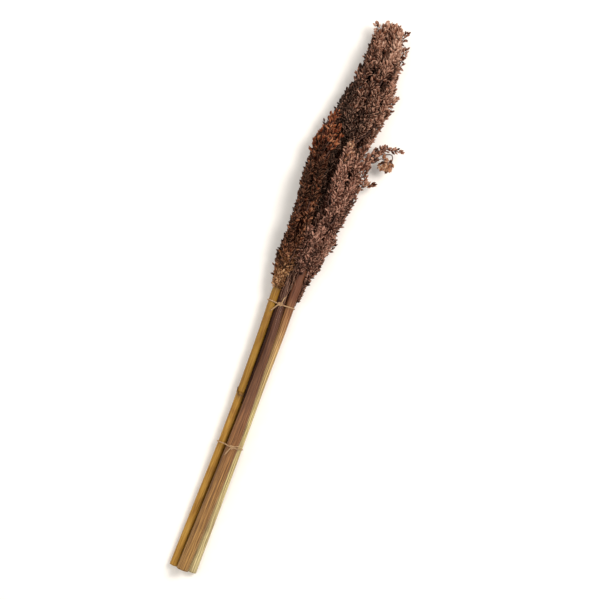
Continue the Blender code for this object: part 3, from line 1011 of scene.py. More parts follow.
# Where a head's crown shades begin and end, as shares of its length, and how open its crown is: that
# share of the painted inner shade is left off there.
CROWNS = {"left": (0.68, 0.93, 0.35), "long": (0.83, 0.98, 0.6), "right": (0.9, 1.04, 0.5)}
# The same for its foot, and how much of the foot's shade is lost at the right edge.
FEET = {"left": (0.27, 0.08, 0.65, 0.0), "long": (0.8, 0.57, 0.0, 0.85), "right": (0.3, 0.05, 0.0, 0.0)}


def add_zones(grains, outline, key, random):
    """Each grain's share of the crown's and the foot's shades, with a ragged boundary, and the painted
    shade deep inside the head.
    """
    share = (grains["foot"][:, 1] - outline.start) / (outline.end - outline.start)
    share = share + random.normal(0.0, 0.045, len(share))
    middle = grains["foot"] + grains["way"] * 0.6 * grains["length"][:, None]
    middle_x = outline.centre(middle[:, 1])[:, 0]
    side = (middle[:, 0] - middle_x) / np.interp(middle[:, 1], outline.y, outline.half[:, 0])
    # Paler to the right: partly own colour, partly painted light from the right.
    grains["shade"] = grains["shade"] + TONE[key][1] * side + TONE[key][2] * (2 * share - 1)
    low, high, open_crown = CROWNS[key]
    grains["crown"] = smoothstep(share, low, high)
    high, low, open_foot, lost = FEET[key]
    grains["base"] = (1.0 - smoothstep(share, low, high)) * (1.0 - lost * np.clip(side, 0.0, 1.0))
    # Painted shade darkens grains deep inside the head, less in an open crown or foot.
    painted_shade_kept = 1.0 - np.maximum(grains["crown"] * open_crown, grains["base"] * open_foot)
    grains["deep"] = INNER_PAINTED_SHADE * painted_shade_kept * (1.0 - smoothstep(outline.share(middle), 0.55, 0.98))
    return grains


# Loose branches of each head: along, across and height of points on the branch, where its grains
# begin as a share of its length, the number of its stations, and its share of the crown's shades.
LOOSE = {
    "left": (
        (((168, -18, 30), (182, -15, 31.5), (193, -12, 30.5)), 0.3, 6, 1.0),
        (((160, -14, 31), (174, -11, 32.5), (184, -7.5, 31.5)), 0.3, 6, 0.9),
        (((176, -25, 22), (190, -26.5, 21), (203, -25, 20)), 0.3, 5, 1.0),
        (((182, -20, 26), (196, -20.5, 27), (210, -18.5, 25)), 0.3, 6, 1.0),
        (((150, -24, 24), (165, -29, 24), (176, -30.5, 23)), 0.3, 5, 0.5),
        (((20, -16, 20), (36, -21, 18), (46, -22.5, 17)), 0.3, 4, 0.0),
    ),
    "long": (
        (((225, 21, 20), (236, 28, 20.5), (242, 32, 19.5)), 0.25, 8, 0.45),
        (((208, 19, 22), (219, 27, 23), (228, 31.5, 22)), 0.25, 8, 0.3),
        (((198, 18, 22), (208, 24.5, 23), (216, 28, 22)), 0.25, 5, 0.2),
        (((278, 18, 19), (288, 23, 19.5), (295, 25, 19)), 0.3, 4, 0.6),
        (((294, 12, 19), (303, 17, 21), (310, 18.5, 21)), 0.2, 4, 1.0),
        (((292, -5, 20), (302, -9, 21), (309, -12.5, 21)), 0.3, 4, 0.9),
        (((240, -9, 22), (252, -13.5, 22), (260, -14.5, 21)), 0.4, 4, 0.3),
        (((262, 18, 22), (276, 23, 22), (284, 24.5, 21)), 0.4, 3, 0.3),
    ),
    "right": (
        (
            ((150, 20, 22), (170, 29, 22.5), (188, 38.5, 21.5), (193, 48, 20.5), (194, 56, 19.5)),
            0.3, 12, 0.1,
        ),
        (
            ((187, 46, 20.5), (188, 50, 20.5), (184, 52.5, 19.5), (179, 52, 18.5), (174, 50, 17.5)),
            0.5, 9, 0.95,
        ),
        (((174, 36, 21), (180, 40.5, 20.5), (180, 44.5, 19.5), (174, 44, 18)), 0.5, 7, 0.9),
        (((168, 31, 22), (180, 35, 23), (190, 38.5, 22)), 0.3, 6, 0.25),
        (((134, 24, 17), (146, 33, 17.5), (151, 41.5, 17)), 0.4, 7, 0.6),
        (((156, 22, 25), (172, 29, 25.5), (184, 32, 24)), 0.2, 8, 0.2),
        (((148, 18, 28), (163, 25, 28), (176, 28, 26.5)), 0.2, 8, 0.1),
        (((158, 14, 28), (172, 19, 29), (184, 22, 27)), 0.2, 8, 0.1),
        (((128, 22, 24), (142, 29, 24), (154, 32.5, 23)), 0.25, 7, 0.1),
        (((136, 20, 28), (152, 27, 28), (163, 31, 26)), 0.25, 7, 0.1),
        (((108, 24, 18), (122, 28, 18), (130, 29.5, 17.5)), 0.3, 4, 0.0),
        (((60, 20, 14), (72, 24.5, 14), (80, 26, 13.5)), 0.3, 4, 0.0),
    ),
}
# Long slender branches that lie on the front of a head: their tone, and points on them.
BRAIDS = {
    "left": (
        (0.3, ((40, -18, 22), (56, -20, 25.5), (74, -20.5, 28.5), (92, -21, 30))),
        (0.38, ((52, -9, 24), (68, -8, 27.5), (84, -7.5, 29), (101, -8.5, 30))),
        (0.22, ((96, -20, 31), (112, -21, 32.5), (130, -23, 33), (146, -24.5, 32))),
        (0.06, ((104, -12, 31), (120, -13, 32), (136, -14.5, 32), (152, -16.5, 31.5))),
    ),
    "long": (
        (0.34, ((190, -11, 20), (204, -14, 22), (220, -15.5, 24), (238, -15, 25))),
        (0.22, ((196, -6, 24), (210, -9, 27), (228, -10, 30), (244, -9, 32))),
        (0.36, ((190, 13, 27), (206, 15, 30), (222, 15.5, 33), (240, 16, 33))),
        (0.62, ((204, 21, 23), (220, 23.5, 25.5), (238, 24, 26.5), (256, 23, 27))),
        (0.5, ((250, 12, 33), (264, 13.5, 33), (280, 14, 32), (296, 14, 30))),
        (0.5, ((248, -8, 30), (262, -7, 32), (278, -6, 32), (294, -6, 30))),
    ),
    "right": (
        (0.5, ((118, 5, 33.5), (150, 5.5, 34), (172, 5.5, 34), (182, 5.5, 32))),
        (0.55, ((112, 11, 34.5), (140, 12, 35), (158, 11.5, 34.5), (172, 11.5, 32))),
        (0.4, ((100, 18, 32), (125, 20, 31.5), (148, 21, 30), (164, 19, 28))),
        (0.34, ((40, 0.5, 20), (52, -1.5, 22), (66, -3, 26), (84, -2, 30))),
        (0.46, ((31, 3.5, 22.5), (46, 3.0, 24.5), (60, 4, 28), (78, 5, 31))),
        (0.52, ((47, 8, 25), (58, 7.5, 27), (70, 8.5, 30), (86, 10, 33))),
        (0.36, ((37, 12.5, 22), (50, 13, 24), (64, 15, 27), (80, 17, 29))),
        (0.44, ((24, 12.5, 19), (36, 14.5, 20), (50, 17.5, 22), (64, 19.5, 23))),
    ),
}
# Where the racemes of a branch begin as a share of its length, their stations, and the fan in degrees
# over which they spread; the same for a braid, after which comes the length of its racemes.
OWN_RACEMES = (0.28, 13, 115.0)
BRAID_RACEMES = (0.12, 20, 120.0)
BRAID_LENGTH = 4.6
# A loose branch: the length of its racemes in millimetres, their fan, how much more they lean, its
# shade, and the direction that its racemes stand out in.
LOOSE_LENGTH = 3.4
LOOSE_FAN = 180.0
LOOSE_SPREAD = 1.45
LOOSE_SHADE = 0.55
LOOSE_OUT = (0.1, 0.0, 1.0)
LOOSE_SIZE = 1.12  # grains fill out where they stand alone
MOST_GRAINS = 5000  # in one piece
# Racemes are left out further in than this in another head and in their own, and further out than
# this in a hollow, as shares of the way from a head's middle line to its skin.
OTHER_HEAD = 0.78
INNER_CORE = 0.42
HOLLOW_FLOOR = 0.7
# Where half a head's width or height is less than this, its racemes and grains are smaller, down to
# these shares of their size.
FULL_RACEMES = 7 * MM
LEAST_RACEME = 0.4
LEAST_GRAIN = 0.55
BRANCH_RADII = (0.7, 0.3)  # of a branch that bears racemes, foot and tip, in millimetres
LOWER_RADII = (0.8, 0.75, 0.7)  # of its bare lower part
RACEME_RADIUS = 0.2 * MM
SPINE_OVERLAP = 4 * MM  # how far a head's stem starts inside its stalk
SPINE_SHORT = 12 * MM  # how far it stops short of the head's tip
SPINE_EASE = 50 * MM  # the length over which it moves to the head's middle
SPINE_TIP = 0.8 * MM  # its radius there
LOWEST_LEAVE = 24 * MM  # how far below the stalk's top a branch may leave


def sprig(points, out, tone, length, random, *station_settings):
    """One branch through points in millimetres: its path, and its racemes with their sides and shades."""
    path = smooth_path(placed(points), BRANCH_POINTS)[None]
    out = np.broadcast_to(np.array(out), path.shape)
    return path, *raceme_paths(path, out, np.array([tone]), length * MM, random, *station_settings)


class SORGHUM_OT_heads(bpy.types.Operator):
    """Make the seed heads: sprays of husked grains on their thin branches"""

    bl_idname = "sorghum.heads"
    bl_label = "Seed heads"

    def execute(self, context):
        sizes = context.scene.sorghum_grains
        stems = stem_material("dried_panicle_branch", ("#1f0e08", "#3a2018", "#553428", "#7d5947"))
        envelopes = {key: Envelope(key) for key in HEADS}
        for key, (node, stalk, slot, seed) in HEADS.items():
            random = np.random.default_rng(seed)
            outline = envelopes[key]
            looks = HUSKS[key]
            chosen = getattr(context.scene.sorghum_colours, "head_" + key)
            own = shades_of(looks["shades"], chosen)
            name = f"dried_sorghum_husk_{key}"
            husk = husk_material(name, own, looks["crown"], looks["foot"], looks["pale_rim_and_highlight"])
            others = [envelopes[other] for other in envelopes if other != key]
            tips = branch_tips(outline, sizes, random)
            paths, out = branch_paths(outline, tips, sizes, random)
            own_shade = TONE[key][0] + random.normal(0.0, SHADE_SPREAD, len(paths))
            stems_at, outs, shade = raceme_paths(
                paths, out, own_shade, sizes.raceme_length, random, *OWN_RACEMES
            )
            # Racemes shrink where the head is thin, and none are made where another head is.
            shares = [other.share(stems_at[:, 2]) for other in others]
            tip_share = outline.share(stems_at[:, -1])
            seen = (np.min(shares, axis=0) > OTHER_HEAD) & (tip_share > INNER_CORE)
            seen &= ~(knocked_off(key, stems_at[:, -1], outline) & (tip_share > HOLLOW_FLOOR))
            stems_at, outs, shade = stems_at[seen], outs[seen], shade[seen]
            wide, tall = (np.interp(stems_at[:, 0, 1], outline.y, column) for column in outline.half.T)
            thin = np.clip(np.minimum(wide, tall) / FULL_RACEMES, LEAST_RACEME, 1.0)
            stems_at = stems_at[:, :1] + (stems_at - stems_at[:, :1]) * thin[:, None, None]
            size = LEAST_GRAIN + (1 - LEAST_GRAIN) * thin
            grains = raceme_grains(stems_at, outs, shade, sizes, random, sizes.per_raceme, size)
            grains = add_zones(straighten(grains), outline, key, random)
            extras = []
            for points, start, stations, tint in LOOSE[key]:
                path, racemes, sides, tone = sprig(
                    points, LOOSE_OUT, LOOSE_SHADE, LOOSE_LENGTH, random,
                    start, stations, LOOSE_FAN, LOOSE_SPREAD,
                )
                more = raceme_grains(racemes, sides, tone, sizes, random, 2, LOOSE_SIZE)
                more["crown"] = np.full(len(more["shade"]), tint)
                more["base"] = np.zeros(len(more["shade"]))
                extras.append((path, racemes, straighten(more)))
            for tone, points in BRAIDS[key]:
                path, racemes, sides, tone = sprig(points, UP, tone, BRAID_LENGTH, random, *BRAID_RACEMES)
                more = raceme_grains(racemes, sides, tone, sizes, random, 4)
                more = add_zones(straighten(more), outline, key, random)
                extras.append((path, racemes, more))
            # Loose branches and braids get no painted inner shade.
            for _, _, more in extras:
                more["deep"] = np.zeros(len(more["shade"]))
            self.make_grains(key, node, slot, together(grains, *(more for _, _, more in extras)), husk)
            paths = np.concatenate([paths, *(path for path, _, _ in extras)])
            stems_at = np.concatenate([stems_at, *(racemes for _, racemes, _ in extras)])
            self.make_branches(key, slot, outline, paths, stems_at, stalk, stems, random)
        return {"FINISHED"}

    def make_grains(self, key, node, slot, grains, husk):
        """Splits the grains along the head into pieces that stay small enough for one file."""
        order = np.argsort(grains["foot"][:, 1])
        parts = math.ceil(len(order) / MOST_GRAINS)
        for number, chosen in enumerate(np.array_split(order, parts), start=1):
            share = {name: values[chosen] for name, values in grains.items()}
            made = grains_piece(f"grains_{key}_{number}", share, husk)
            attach(made, BODY)
            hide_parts(node)

    def make_branches(self, key, slot, outline, paths, racemes, stalk, stems, random):
        """The head's stem, its branches, and the thin stems of their racemes."""
        count, rings = paths.shape[:2]
        each = np.ones((count, 1))
        bearing = tubes(paths, np.linspace(*BRANCH_RADII, rings)[None] * MM * each, 5, UP)
        thin = tubes(racemes[:, ::2], np.full((len(racemes), 3), RACEME_RADIUS), 3, UP)
        line = stalk_line(stalk)
        y = np.linspace(line[-1, 1] - SPINE_OVERLAP, outline.end - SPINE_SHORT, 24)
        middle = outline.centre(y)
        top = line_at(line, line[-1, 1])
        ease = smoothstep(y, y[0], y[0] + SPINE_EASE)
        x = top[0] * (1 - ease) + middle[:, 0] * ease
        z = top[1] * (1 - ease) + middle[:, 1] * ease
        spine = np.stack([x, y, z], axis=-1)[None]
        taper = np.interp(y, (y[0], y[-1]), (top[2] * 0.93, SPINE_TIP))[None]
        stem = tubes(spine, taper, 12, UP)
        # Below its grains a branch runs down inside the head, and leaves the stem.
        feet = paths[:, 0]
        y_leave = feet[:, 1] - random.uniform(14, 30, count) * MM
        y_leave = np.maximum(y_leave, line[-1, 1] - LOWEST_LEAVE)
        leave = np.stack([np.interp(y_leave, y, x), y_leave, np.interp(y_leave, y, z)], axis=-1)
        half = leave * 0.5 + feet * 0.5
        half[:, (0, 2)] = leave[:, (0, 2)] * 0.7 + feet[:, (0, 2)] * 0.3
        carry = np.stack([leave, half, feet], axis=1)
        lower = tubes(carry, np.array([LOWER_RADII]) * MM * each, 5, UP)
        points, quads, triangles = joined([bearing, thin, stem, lower])
        points[:, 2] = np.maximum(points[:, 2], FLOOR_CLEARANCE)
        made = piece(f"branches_{key}", points, [quads, triangles], stems)
        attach(made, BODY)


# ---------------------------------------------------------------- stalks

# A stalk is redder on the side that faces up and left, above this share of its length; this is partly its
# own colour and partly painted shade on the side turned from the key light.
RED_SHADED_SIDE = math.radians(122)
RED_SHADED_WIDTH = 0.62
RED_SHADED_FROM = (0.48, 0.62)

RIBS = ((13, 1.0), (21, 0.8), (34, 0.6))  # ribs round a stalk, and their share of the rib depth
# Rings on the cut face, from its middle out: share of the radius, and how far in it lies.
CUT_FACE = ((0.2, 1.1), (0.5, 1.25), (0.82, 1.0), (0.86, 0.0))
CUT_ROUGHNESS = 0.18 * MM
PITH_EDGE = 0.85  # the share of the radius that the pith fills
OVAL = (0.012, 60 * MM)  # how far out of round a stalk is, and the length over which that turns
BOW = (0.12 * MM, 38 * MM)  # its slight waviness, and the length of that
NODE_SWELL = (0.75 * MM, 1.1 * MM)  # the ring at a node: its height, and half its width
PITH_MIDDLE = 1.2  # how far in the middle of the pith lies, in insets


def stalk_surface(line, sizes, random, sides=72, step=2.2 * MM, node_at=None):
    """A stalk: rings along its line, with ribs, closed by a cut face of pith at its foot.

    The radius at turn a and height h is r(h) * (1 + oval * cos(2a + p)) + the sum over the ribs of
    depth * cos(k * a + phase), which swells where the stalk has a node.
    """
    count = max(8, round((line[-1, 1] - line[0, 1]) / step))
    path = smooth_path(line, count)
    centre, radius = path[:, :3], path[:, 3]
    first, second = (across[0] for across in frames(centre[None], UP)[1:])
    angle = even_angles(sides)[None]
    height = centre[:, 1:2]
    reach = radius[:, None] * (1 + OVAL[0] * np.cos(2 * angle + height / OVAL[1]))
    reach = reach + BOW[0] * np.sin(height / BOW[1] + angle)
    for number, share in RIBS:
        reach = reach + sizes.rib_depth * share * np.cos(number * angle + random.uniform(0, ANY_PHASE))
    if node_at is not None:
        reach = reach + NODE_SWELL[0] * np.exp(-(((height - node_at) / NODE_SWELL[1]) ** 2))
    outward = swung(angle, first[:, None], second[:, None])
    rings = []
    for share, depth in CUT_FACE:
        rough = CUT_ROUGHNESS * random.normal(0, 1, (sides, 1)) * (share < PITH_EDGE)
        inset = centre[0] + np.array([0, 1, 0]) * (depth * sizes.pith_inset + rough)
        rings.append(inset + (reach[0] * share)[:, None] * outward[0])
    rings = np.concatenate([rings, centre[:, None] + reach[..., None] * outward])
    quads, triangles = tube_faces(len(rings), sides)
    ends = np.array([centre[0] + np.array([0, sizes.pith_inset * PITH_MIDDLE, 0]), centre[-1]])
    points = np.concatenate([rings.reshape(-1, 3), ends])
    points[:, 2] = np.maximum(points[:, 2], FLOOR_CLEARANCE)
    pith = np.concatenate([np.repeat([1.0] * len(CUT_FACE) + [0.0] * count, sides), [1.0, 0.0]])
    share = np.clip((points[:, 1] - centre[0, 1]) / (centre[-1, 1] - centre[0, 1]), 0, 1)
    round_it = np.arange(sides + 1) / sides * FULL_TURN * radius.mean()
    up = np.concatenate([np.zeros(len(CUT_FACE)), centre[:, 1] - centre[0, 1]])

    def corner_places(faces):
        last = len(rings) * sides
        side = np.where(faces < last, faces % sides, 0)
        side = np.where((side == 0) & (side.max(axis=1) > sides / 2)[:, None], sides, side)
        row = np.where(faces < last, faces // sides, np.where(faces == last, 0, len(rings) - 1))
        return np.stack([round_it[side], up[row]], axis=-1).reshape(-1, 2)

    uv = np.concatenate([corner_places(quads), corner_places(triangles)])
    side = np.exp(-(((angle - RED_SHADED_SIDE) / RED_SHADED_WIDTH) ** 2)) * np.ones((len(rings), 1))
    blush = np.concatenate([side.ravel(), [0.0, 0.0]]) * smoothstep(share, *RED_SHADED_FROM)
    return points, [quads, triangles], uv, {"pith": pith, "height": share, "blush": blush}


class SORGHUM_OT_stalks(bpy.types.Operator):
    """Make the three cut stalks"""

    bl_idname = "sorghum.stalks"
    bl_label = "Stalks"

    def execute(self, context):
        sizes = context.scene.sorghum_stalks
        gap_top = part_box("leaf_sheath_upper")[0].y
        gap_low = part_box("leaf_sheath_lower")[1].y
        for number, (node, (slot, streak, streaked, wider, zones)) in enumerate(STALKS.items()):
            random = np.random.default_rng(101 + number)
            chosen = getattr(context.scene.sorghum_colours, node)
            zones = list(zip([place for place, _ in zones], shades_of(rind_codes(node), chosen)))
            material = stalk_material(f"dried_{node}", zones, streak, streaked)
            joint = (gap_top + gap_low) / 2 if node == "stalk_left" else None
            line = stalk_line(node) + np.array([0.0, 0.0, 0.0, wider])
            points, faces, uv, values = stalk_surface(line, sizes, random, node_at=joint)
            made = piece(node + "_rind", points, faces, material, {"skin": uv}, values)
            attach(made, BODY)
            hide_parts(node)
        return {"FINISHED"}


# ---------------------------------------------------------------- leaf sheaths

FRONT = 2.5 * math.pi  # the direction in which a sheath's top edge dips, in radians
# The direction of each sheath's inner edge in radians, how far its top flares, how much higher it stands
# at the sides than in front, how far its free margin stands off, how brown that margin is (partly its own
# colour and partly painted shade where it lies in the gap by the middle stalk), how light the sheath is,
# and the seed of its random draws.
SHEATHS = {
    "leaf_sheath_upper": (5.03, 0.1 * MM, 0.8 * MM, 2.0 * MM, 0.75, (0.76, 0.74, 0.6), 211),
    "leaf_sheath_lower": (5.4, 0.9 * MM, 7.5 * MM, 1.9 * MM, 0.1, (1.0, 1.0, 1.0), 223),
}
OVERLAP = 0.9  # how far a sheath's outer edge laps over its inner one, in radians
FRONT_WIDTH = 1.1  # half the width of the dip in its top edge, in radians
FLARE_LENGTH = 4.5 * MM
SHEATH_GAP = 0.3 * MM  # between the stalk and the leaf
LAP = 0.42 * MM  # how much further out the leaf lies after one turn
VEINS = (0.05 * MM, 31)  # their height, and how many go into 2 pi radians
MARGIN = 0.75  # the width of the free margin, in radians
SHEATH_RADIUS = 4.4 * MM  # for the skin map


def sheath_surface(line, start, end, sizes, random, shape, sides=80, step=1.6 * MM):
    """A leaf rolled once round the left stalk, with its outer edge lapped over its inner one.

    At wrap angle w from the inner edge, the leaf lies at radius r + clearance + lap * w / 2 pi. Its
    veins stand up as small cosines of w. Its top edge is frayed, flares, and rises at the sides by
    side_rise * (1 - exp(-((turn - front) / front width)^2)).
    """
    seam, flare, side_rise, free = shape
    wrap = np.linspace(0, FULL_TURN + OVERLAP, sides)
    count = round((end - start) / step)
    share = np.linspace(0, 1, count)[:, None]
    fray = ragged(sides, 5, random) * 0.7 * MM
    top = end + side_rise * (1 - np.exp(-(((seam + wrap - FRONT) / FRONT_WIDTH) ** 2))) + fray
    foot = start + ragged(sides, 5, random) * 0.2 * MM
    y = foot[None] + (top - foot)[None] * share
    x, z, r = np.moveaxis(line_at(line, y), -1, 0)
    near_top = np.exp(-(top[None] - y) / FLARE_LENGTH)
    lifted = np.exp(-((wrap - wrap[-1]) ** 2) / 0.08)[None] * 0.12 * MM
    # The outer margin is free: it stands off to the side, and waves a little.
    wave = free + 0.4 * MM * np.sin(y / (13 * MM))
    lifted = lifted + smoothstep(wrap, wrap[-1] - MARGIN, wrap[-1])[None] * wave
    middle = r + SHEATH_GAP + sizes.leaf / 2 + LAP * wrap[None] / FULL_TURN + lifted
    middle = middle + flare * near_top + VEINS[0] * np.cos(wrap * VEINS[1])[None]
    turn = (seam + wrap)[None]
    outer, inner = (
        np.stack([x + reach * np.cos(turn), y, z + reach * np.sin(turn)], axis=-1)
        for reach in (middle + sizes.leaf / 2, middle - sizes.leaf / 2)
    )
    loop = np.concatenate([outer, inner[:, ::-1]], axis=1)
    around = loop.shape[1]
    quads, _ = tube_faces(count, around)
    k = np.arange(sides - 1)
    partner = around - 1 - k
    low = np.stack([k, k + 1, partner - 1, partner], axis=-1)[:, ::-1]
    high = low[:, ::-1] + (count - 1) * around
    quads = np.concatenate([quads, low, high])
    # Outside, angles grow with the wrap, so the faces of the loop turn the way that points out.
    quads = quads[:, ::-1]
    arc = wrap * SHEATH_RADIUS
    place = np.concatenate([arc, arc[::-1]])
    tall = loop[..., 1] - start
    uv = np.stack([place[quads % around], tall.reshape(-1)[quads]], axis=-1).reshape(-1, 2)
    return loop.reshape(-1, 3), quads, uv, near_top, turn


class SORGHUM_OT_sheaths(bpy.types.Operator):
    """Make the two leaf sheaths that are rolled round the left stalk"""

    bl_idname = "sorghum.sheaths"
    bl_label = "Leaf sheaths"

    def execute(self, context):
        sizes = context.scene.sorghum_stalks
        line = stalk_line("stalk_left")
        for node, (*shape, margin_brown_and_shade, tone, seed) in SHEATHS.items():
            chosen = np.array(context.scene.sorghum_colours.sheath) * tone
            material = sheath_material("dried_" + node, shades_of(SHEATH_SHADES, chosen))
            random = np.random.default_rng(seed)
            low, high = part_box(node)
            points, quads, uv, near_top, turn = sheath_surface(line, low.y, high.y, sizes, random, shape)
            points[:, 2] = np.maximum(points[:, 2], FLOOR_CLEARANCE)
            margin = smoothstep(turn, turn[0, -1] - 0.6, turn[0, -1] - 0.1)
            # The free margin is browned partly as painted shade.
            half = np.minimum(0.85 * near_top**1.3 + margin_brown_and_shade * margin, 1.0)
            aged = np.concatenate([half, half[:, ::-1]], axis=1).ravel()
            made = piece(node + "_leaf", points, [quads], material, {"skin": uv}, {"aged": aged})
            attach(made, BODY)
            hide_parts(node)
        return {"FINISHED"}


# A withered leaf is caught between the left and the middle stalk; its near-black colour is partly its own
# and partly painted shade for the dark gap there. Along, the direction in which it leaves the middle
# stalk's skin (degrees), and across and height of its free margin.
WITHERED = (
    (-112, 178, -3.6, 15.5),
    (-98, 172, -4.6, 15.0),
    (-70, 152, -5.4, 14.5),
    (-40, 132, -6.0, 14.5),
    (-10, 118, -6.9, 15.0),
    (10, 112, -7.4, 14.0),
    (22, 118, -7.6, 12.0),
)
WITHERED_LIFT = 0.5 * MM  # it lies this far off the stalk's skin
TUCKED_UNDER = 215.0  # the direction, in degrees, where it comes off the stalk below
ARC_SHARE = 0.6  # the share of its width that lies on the stalk


def withered_surface(line, random, across=26, step=1.2 * MM):
    """A narrow dry leaf: an arc round the middle stalk, then a straight run to its free margin.

    At share t of its width the leaf follows the arc from its upper edge down to the tucked-under
    direction for t up to 0.6, and from there a straight line, with wrinkles of a third of a
    millimetre along it.
    """
    count = round((WITHERED[-1][0] - WITHERED[0][0]) * MM / step)
    along = np.linspace(WITHERED[0][0], WITHERED[-1][0], count)
    edge, free_x, free_z = np.moveaxis(smooth_columns(WITHERED, along), -1, 0)
    edge = edge + ragged(count, 7, random) * 7
    free_x = free_x + ragged(count, 5, random) * 0.4
    y = ORIGIN[1] + along * MM
    x, z, r = line_at(line, y).T
    t = np.linspace(0, 1, across)[None]
    turn = np.radians(edge[:, None] + (TUCKED_UNDER - edge[:, None]) * np.minimum(t / ARC_SHARE, 1.0))
    wrinkle = 0.16 * MM * (np.sin(t * 31 + 2 * np.sin(y[:, None] / (17 * MM))) + np.sin(t * 67))
    reach = r[:, None] + WITHERED_LIFT + wrinkle
    arc = np.stack([x[:, None] + reach * np.cos(turn), z[:, None] + reach * np.sin(turn)], axis=-1)
    free = np.stack([ORIGIN[0] + free_x * MM, free_z * MM], axis=-1)[:, None]
    straight = np.clip((t - ARC_SHARE) / (1 - ARC_SHARE), 0, 1)[..., None]
    flat = arc * (1 - straight) + free * straight
    y_grid = np.broadcast_to(y[:, None], flat.shape[:2])
    points = np.stack([flat[..., 0], y_grid, flat[..., 1]], axis=-1)
    row, column = np.arange(count - 1)[:, None], np.arange(across - 1)[None]
    corner = row * across + column
    quads = np.stack([corner, corner + 1, corner + across + 1, corner + across], axis=-1).reshape(-1, 4)
    place = np.stack([np.broadcast_to(t * 14 * MM, y_grid.shape), y_grid - y[0]], axis=-1)
    return points.reshape(-1, 3), quads, place.reshape(-1, 2)[quads].reshape(-1, 2)


# Dry fibres that hang from the tie over the middle stalk: along, across, height.
STRANDS = (
    ((30, -5, 17), (12, -2.5, 20.5), (-8, -1.5, 23.4), (-24, 0.5, 24.0)),
    ((26, -2, 18), (10, -0.5, 20.5), (-6, 0.5, 23.0), (-19, 1.6, 24.0)),
    ((34, -4, 17), (14, -4.5, 19.8), (-4, -3.2, 22.6), (-16, -2.4, 23.3)),
    ((40, 0, 19), (24, 1, 20.5), (8, 0.6, 20.3), (-3, -0.5, 22.3)),
    ((44, -3, 18), (28, -3.5, 18.5), (16, -2.2, 19), (6, -3.4, 20.6)),
    ((46, -6, 18), (30, -5.6, 18.2), (18, -6.2, 18.8), (4, -5.4, 20.8)),
    ((48, 1.5, 21), (30, 0.4, 19.6), (20, 1.6, 20.6), (12, 1.0, 20.4)),
    ((47, -1, 20), (36, -2.6, 19.5), (30, 0.8, 20), (22, -0.6, 20)),
    ((42, 3.5, 21), (33, 0.6, 21), (26, 3.2, 21.5), (20, 5.6, 21.6)),
)
STRAND_CURL = 0.7 * MM
# A leaf rolled into a quill lies between the middle and the right stalk; its near-black colour is partly
# its own and partly painted shade for the gap there.
QUILL = ((-30, 4.4, 8), (-8, 2.8, 9), (10, 1.5, 10), (28, 1.1, 11), (46, 0.6, 12))
QUILL_RADIUS = 1.6 * MM


def curled(routes, random):
    """Routes that wave by curl * t * sin(k t + p) across and up, with k between 5 and 14."""
    count, points, _ = routes.shape
    t = np.linspace(0, 1, points)[None]
    across, up = (
        np.sin(random.uniform(5, 14, (count, 1)) * t + random.uniform(0, ANY_PHASE, (count, 1))) * t
        for _ in range(2)
    )
    still = np.zeros_like(across)
    return routes + STRAND_CURL * np.stack([across, still, 0.4 * np.abs(up)], axis=-1)


class SORGHUM_OT_withered_leaf(bpy.types.Operator):
    """Make the withered leaves between the stalks, and the dry fibres at the upper tie"""

    bl_idname = "sorghum.withered_leaf"
    bl_label = "Withered leaves"

    def execute(self, context):
        sizes = context.scene.sorghum_stalks
        random = np.random.default_rng(241)
        points, quads, uv = withered_surface(stalk_line("stalk_middle"), random)
        leaf = piece("withered_leaf", points, [quads], shaded_gap_leaf_material(), {"skin": uv})
        wall = leaf.modifiers.new("leaf thickness", "SOLIDIFY")
        wall.thickness = sizes.leaf
        wall.offset = 0.0

        routes = curled(np.stack([smooth_path(placed(rows), 40) for rows in STRANDS]), random)
        taper = np.linspace(0.26, 0.09, routes.shape[1])[None]
        thin = taper * random.uniform(0.7, 1.3, (len(routes), 1)) * MM
        points, quads, triangles = tubes(routes, thin, 6, UP)
        pale = stem_material("dry_leaf_fibre", ("#4a2c20", "#7a5442", "#a07a64", "#c9a78e"))
        fibres = piece("dry_fibres", points, [quads, triangles], pale)

        quill = smooth_path(placed(QUILL), 60)[None]
        wave = 1.0 + 0.12 * np.sin(np.linspace(0, 19, quill.shape[1]))
        points, quads, triangles = tubes(quill, QUILL_RADIUS * wave[None], 14, UP)
        dark = stem_material("rolled_leaf_painted_shade", ("#1b0b06", "#2e170f", "#452a1e", "#674a3c"))
        rolled = piece("rolled_leaf", points, [quads, triangles], dark)
        for made in (leaf, fibres, rolled):
            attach(made, BODY)
        return {"FINISHED"}


# ---------------------------------------------------------------- twine


SHEATH_ROOM = 1.0 * MM  # the turns pass over the leaf sheath on the left stalk


def round_turn(y, clearance, points=220):
    """The closed path of a turn of twine drawn tight round the stalks at one place along them.

    In each direction round the bunch it touches the stalk that reaches furthest that way. The
    straight runs between stalks are then filled in evenly.
    """
    stalks = np.array([line_at(stalk_line(name), y) for name in STALKS])
    stalks[0, 2] += SHEATH_ROOM
    around = even_angles(360)
    way = np.stack([np.cos(around), np.sin(around)], axis=-1)
    touched = stalks[np.argmax(way @ stalks[:, :2].T + stalks[:, 2], axis=1)]
    path = touched[:, :2] + way * (touched[:, 2:] + clearance)
    ring = np.vstack([path, path[:1]])
    length = lengths_along(ring)
    flat = read_columns(np.linspace(0, length[-1], points, endpoint=False), length, ring)
    return np.stack([flat[:, 0], np.full(points, y), flat[:, 1]], axis=-1)


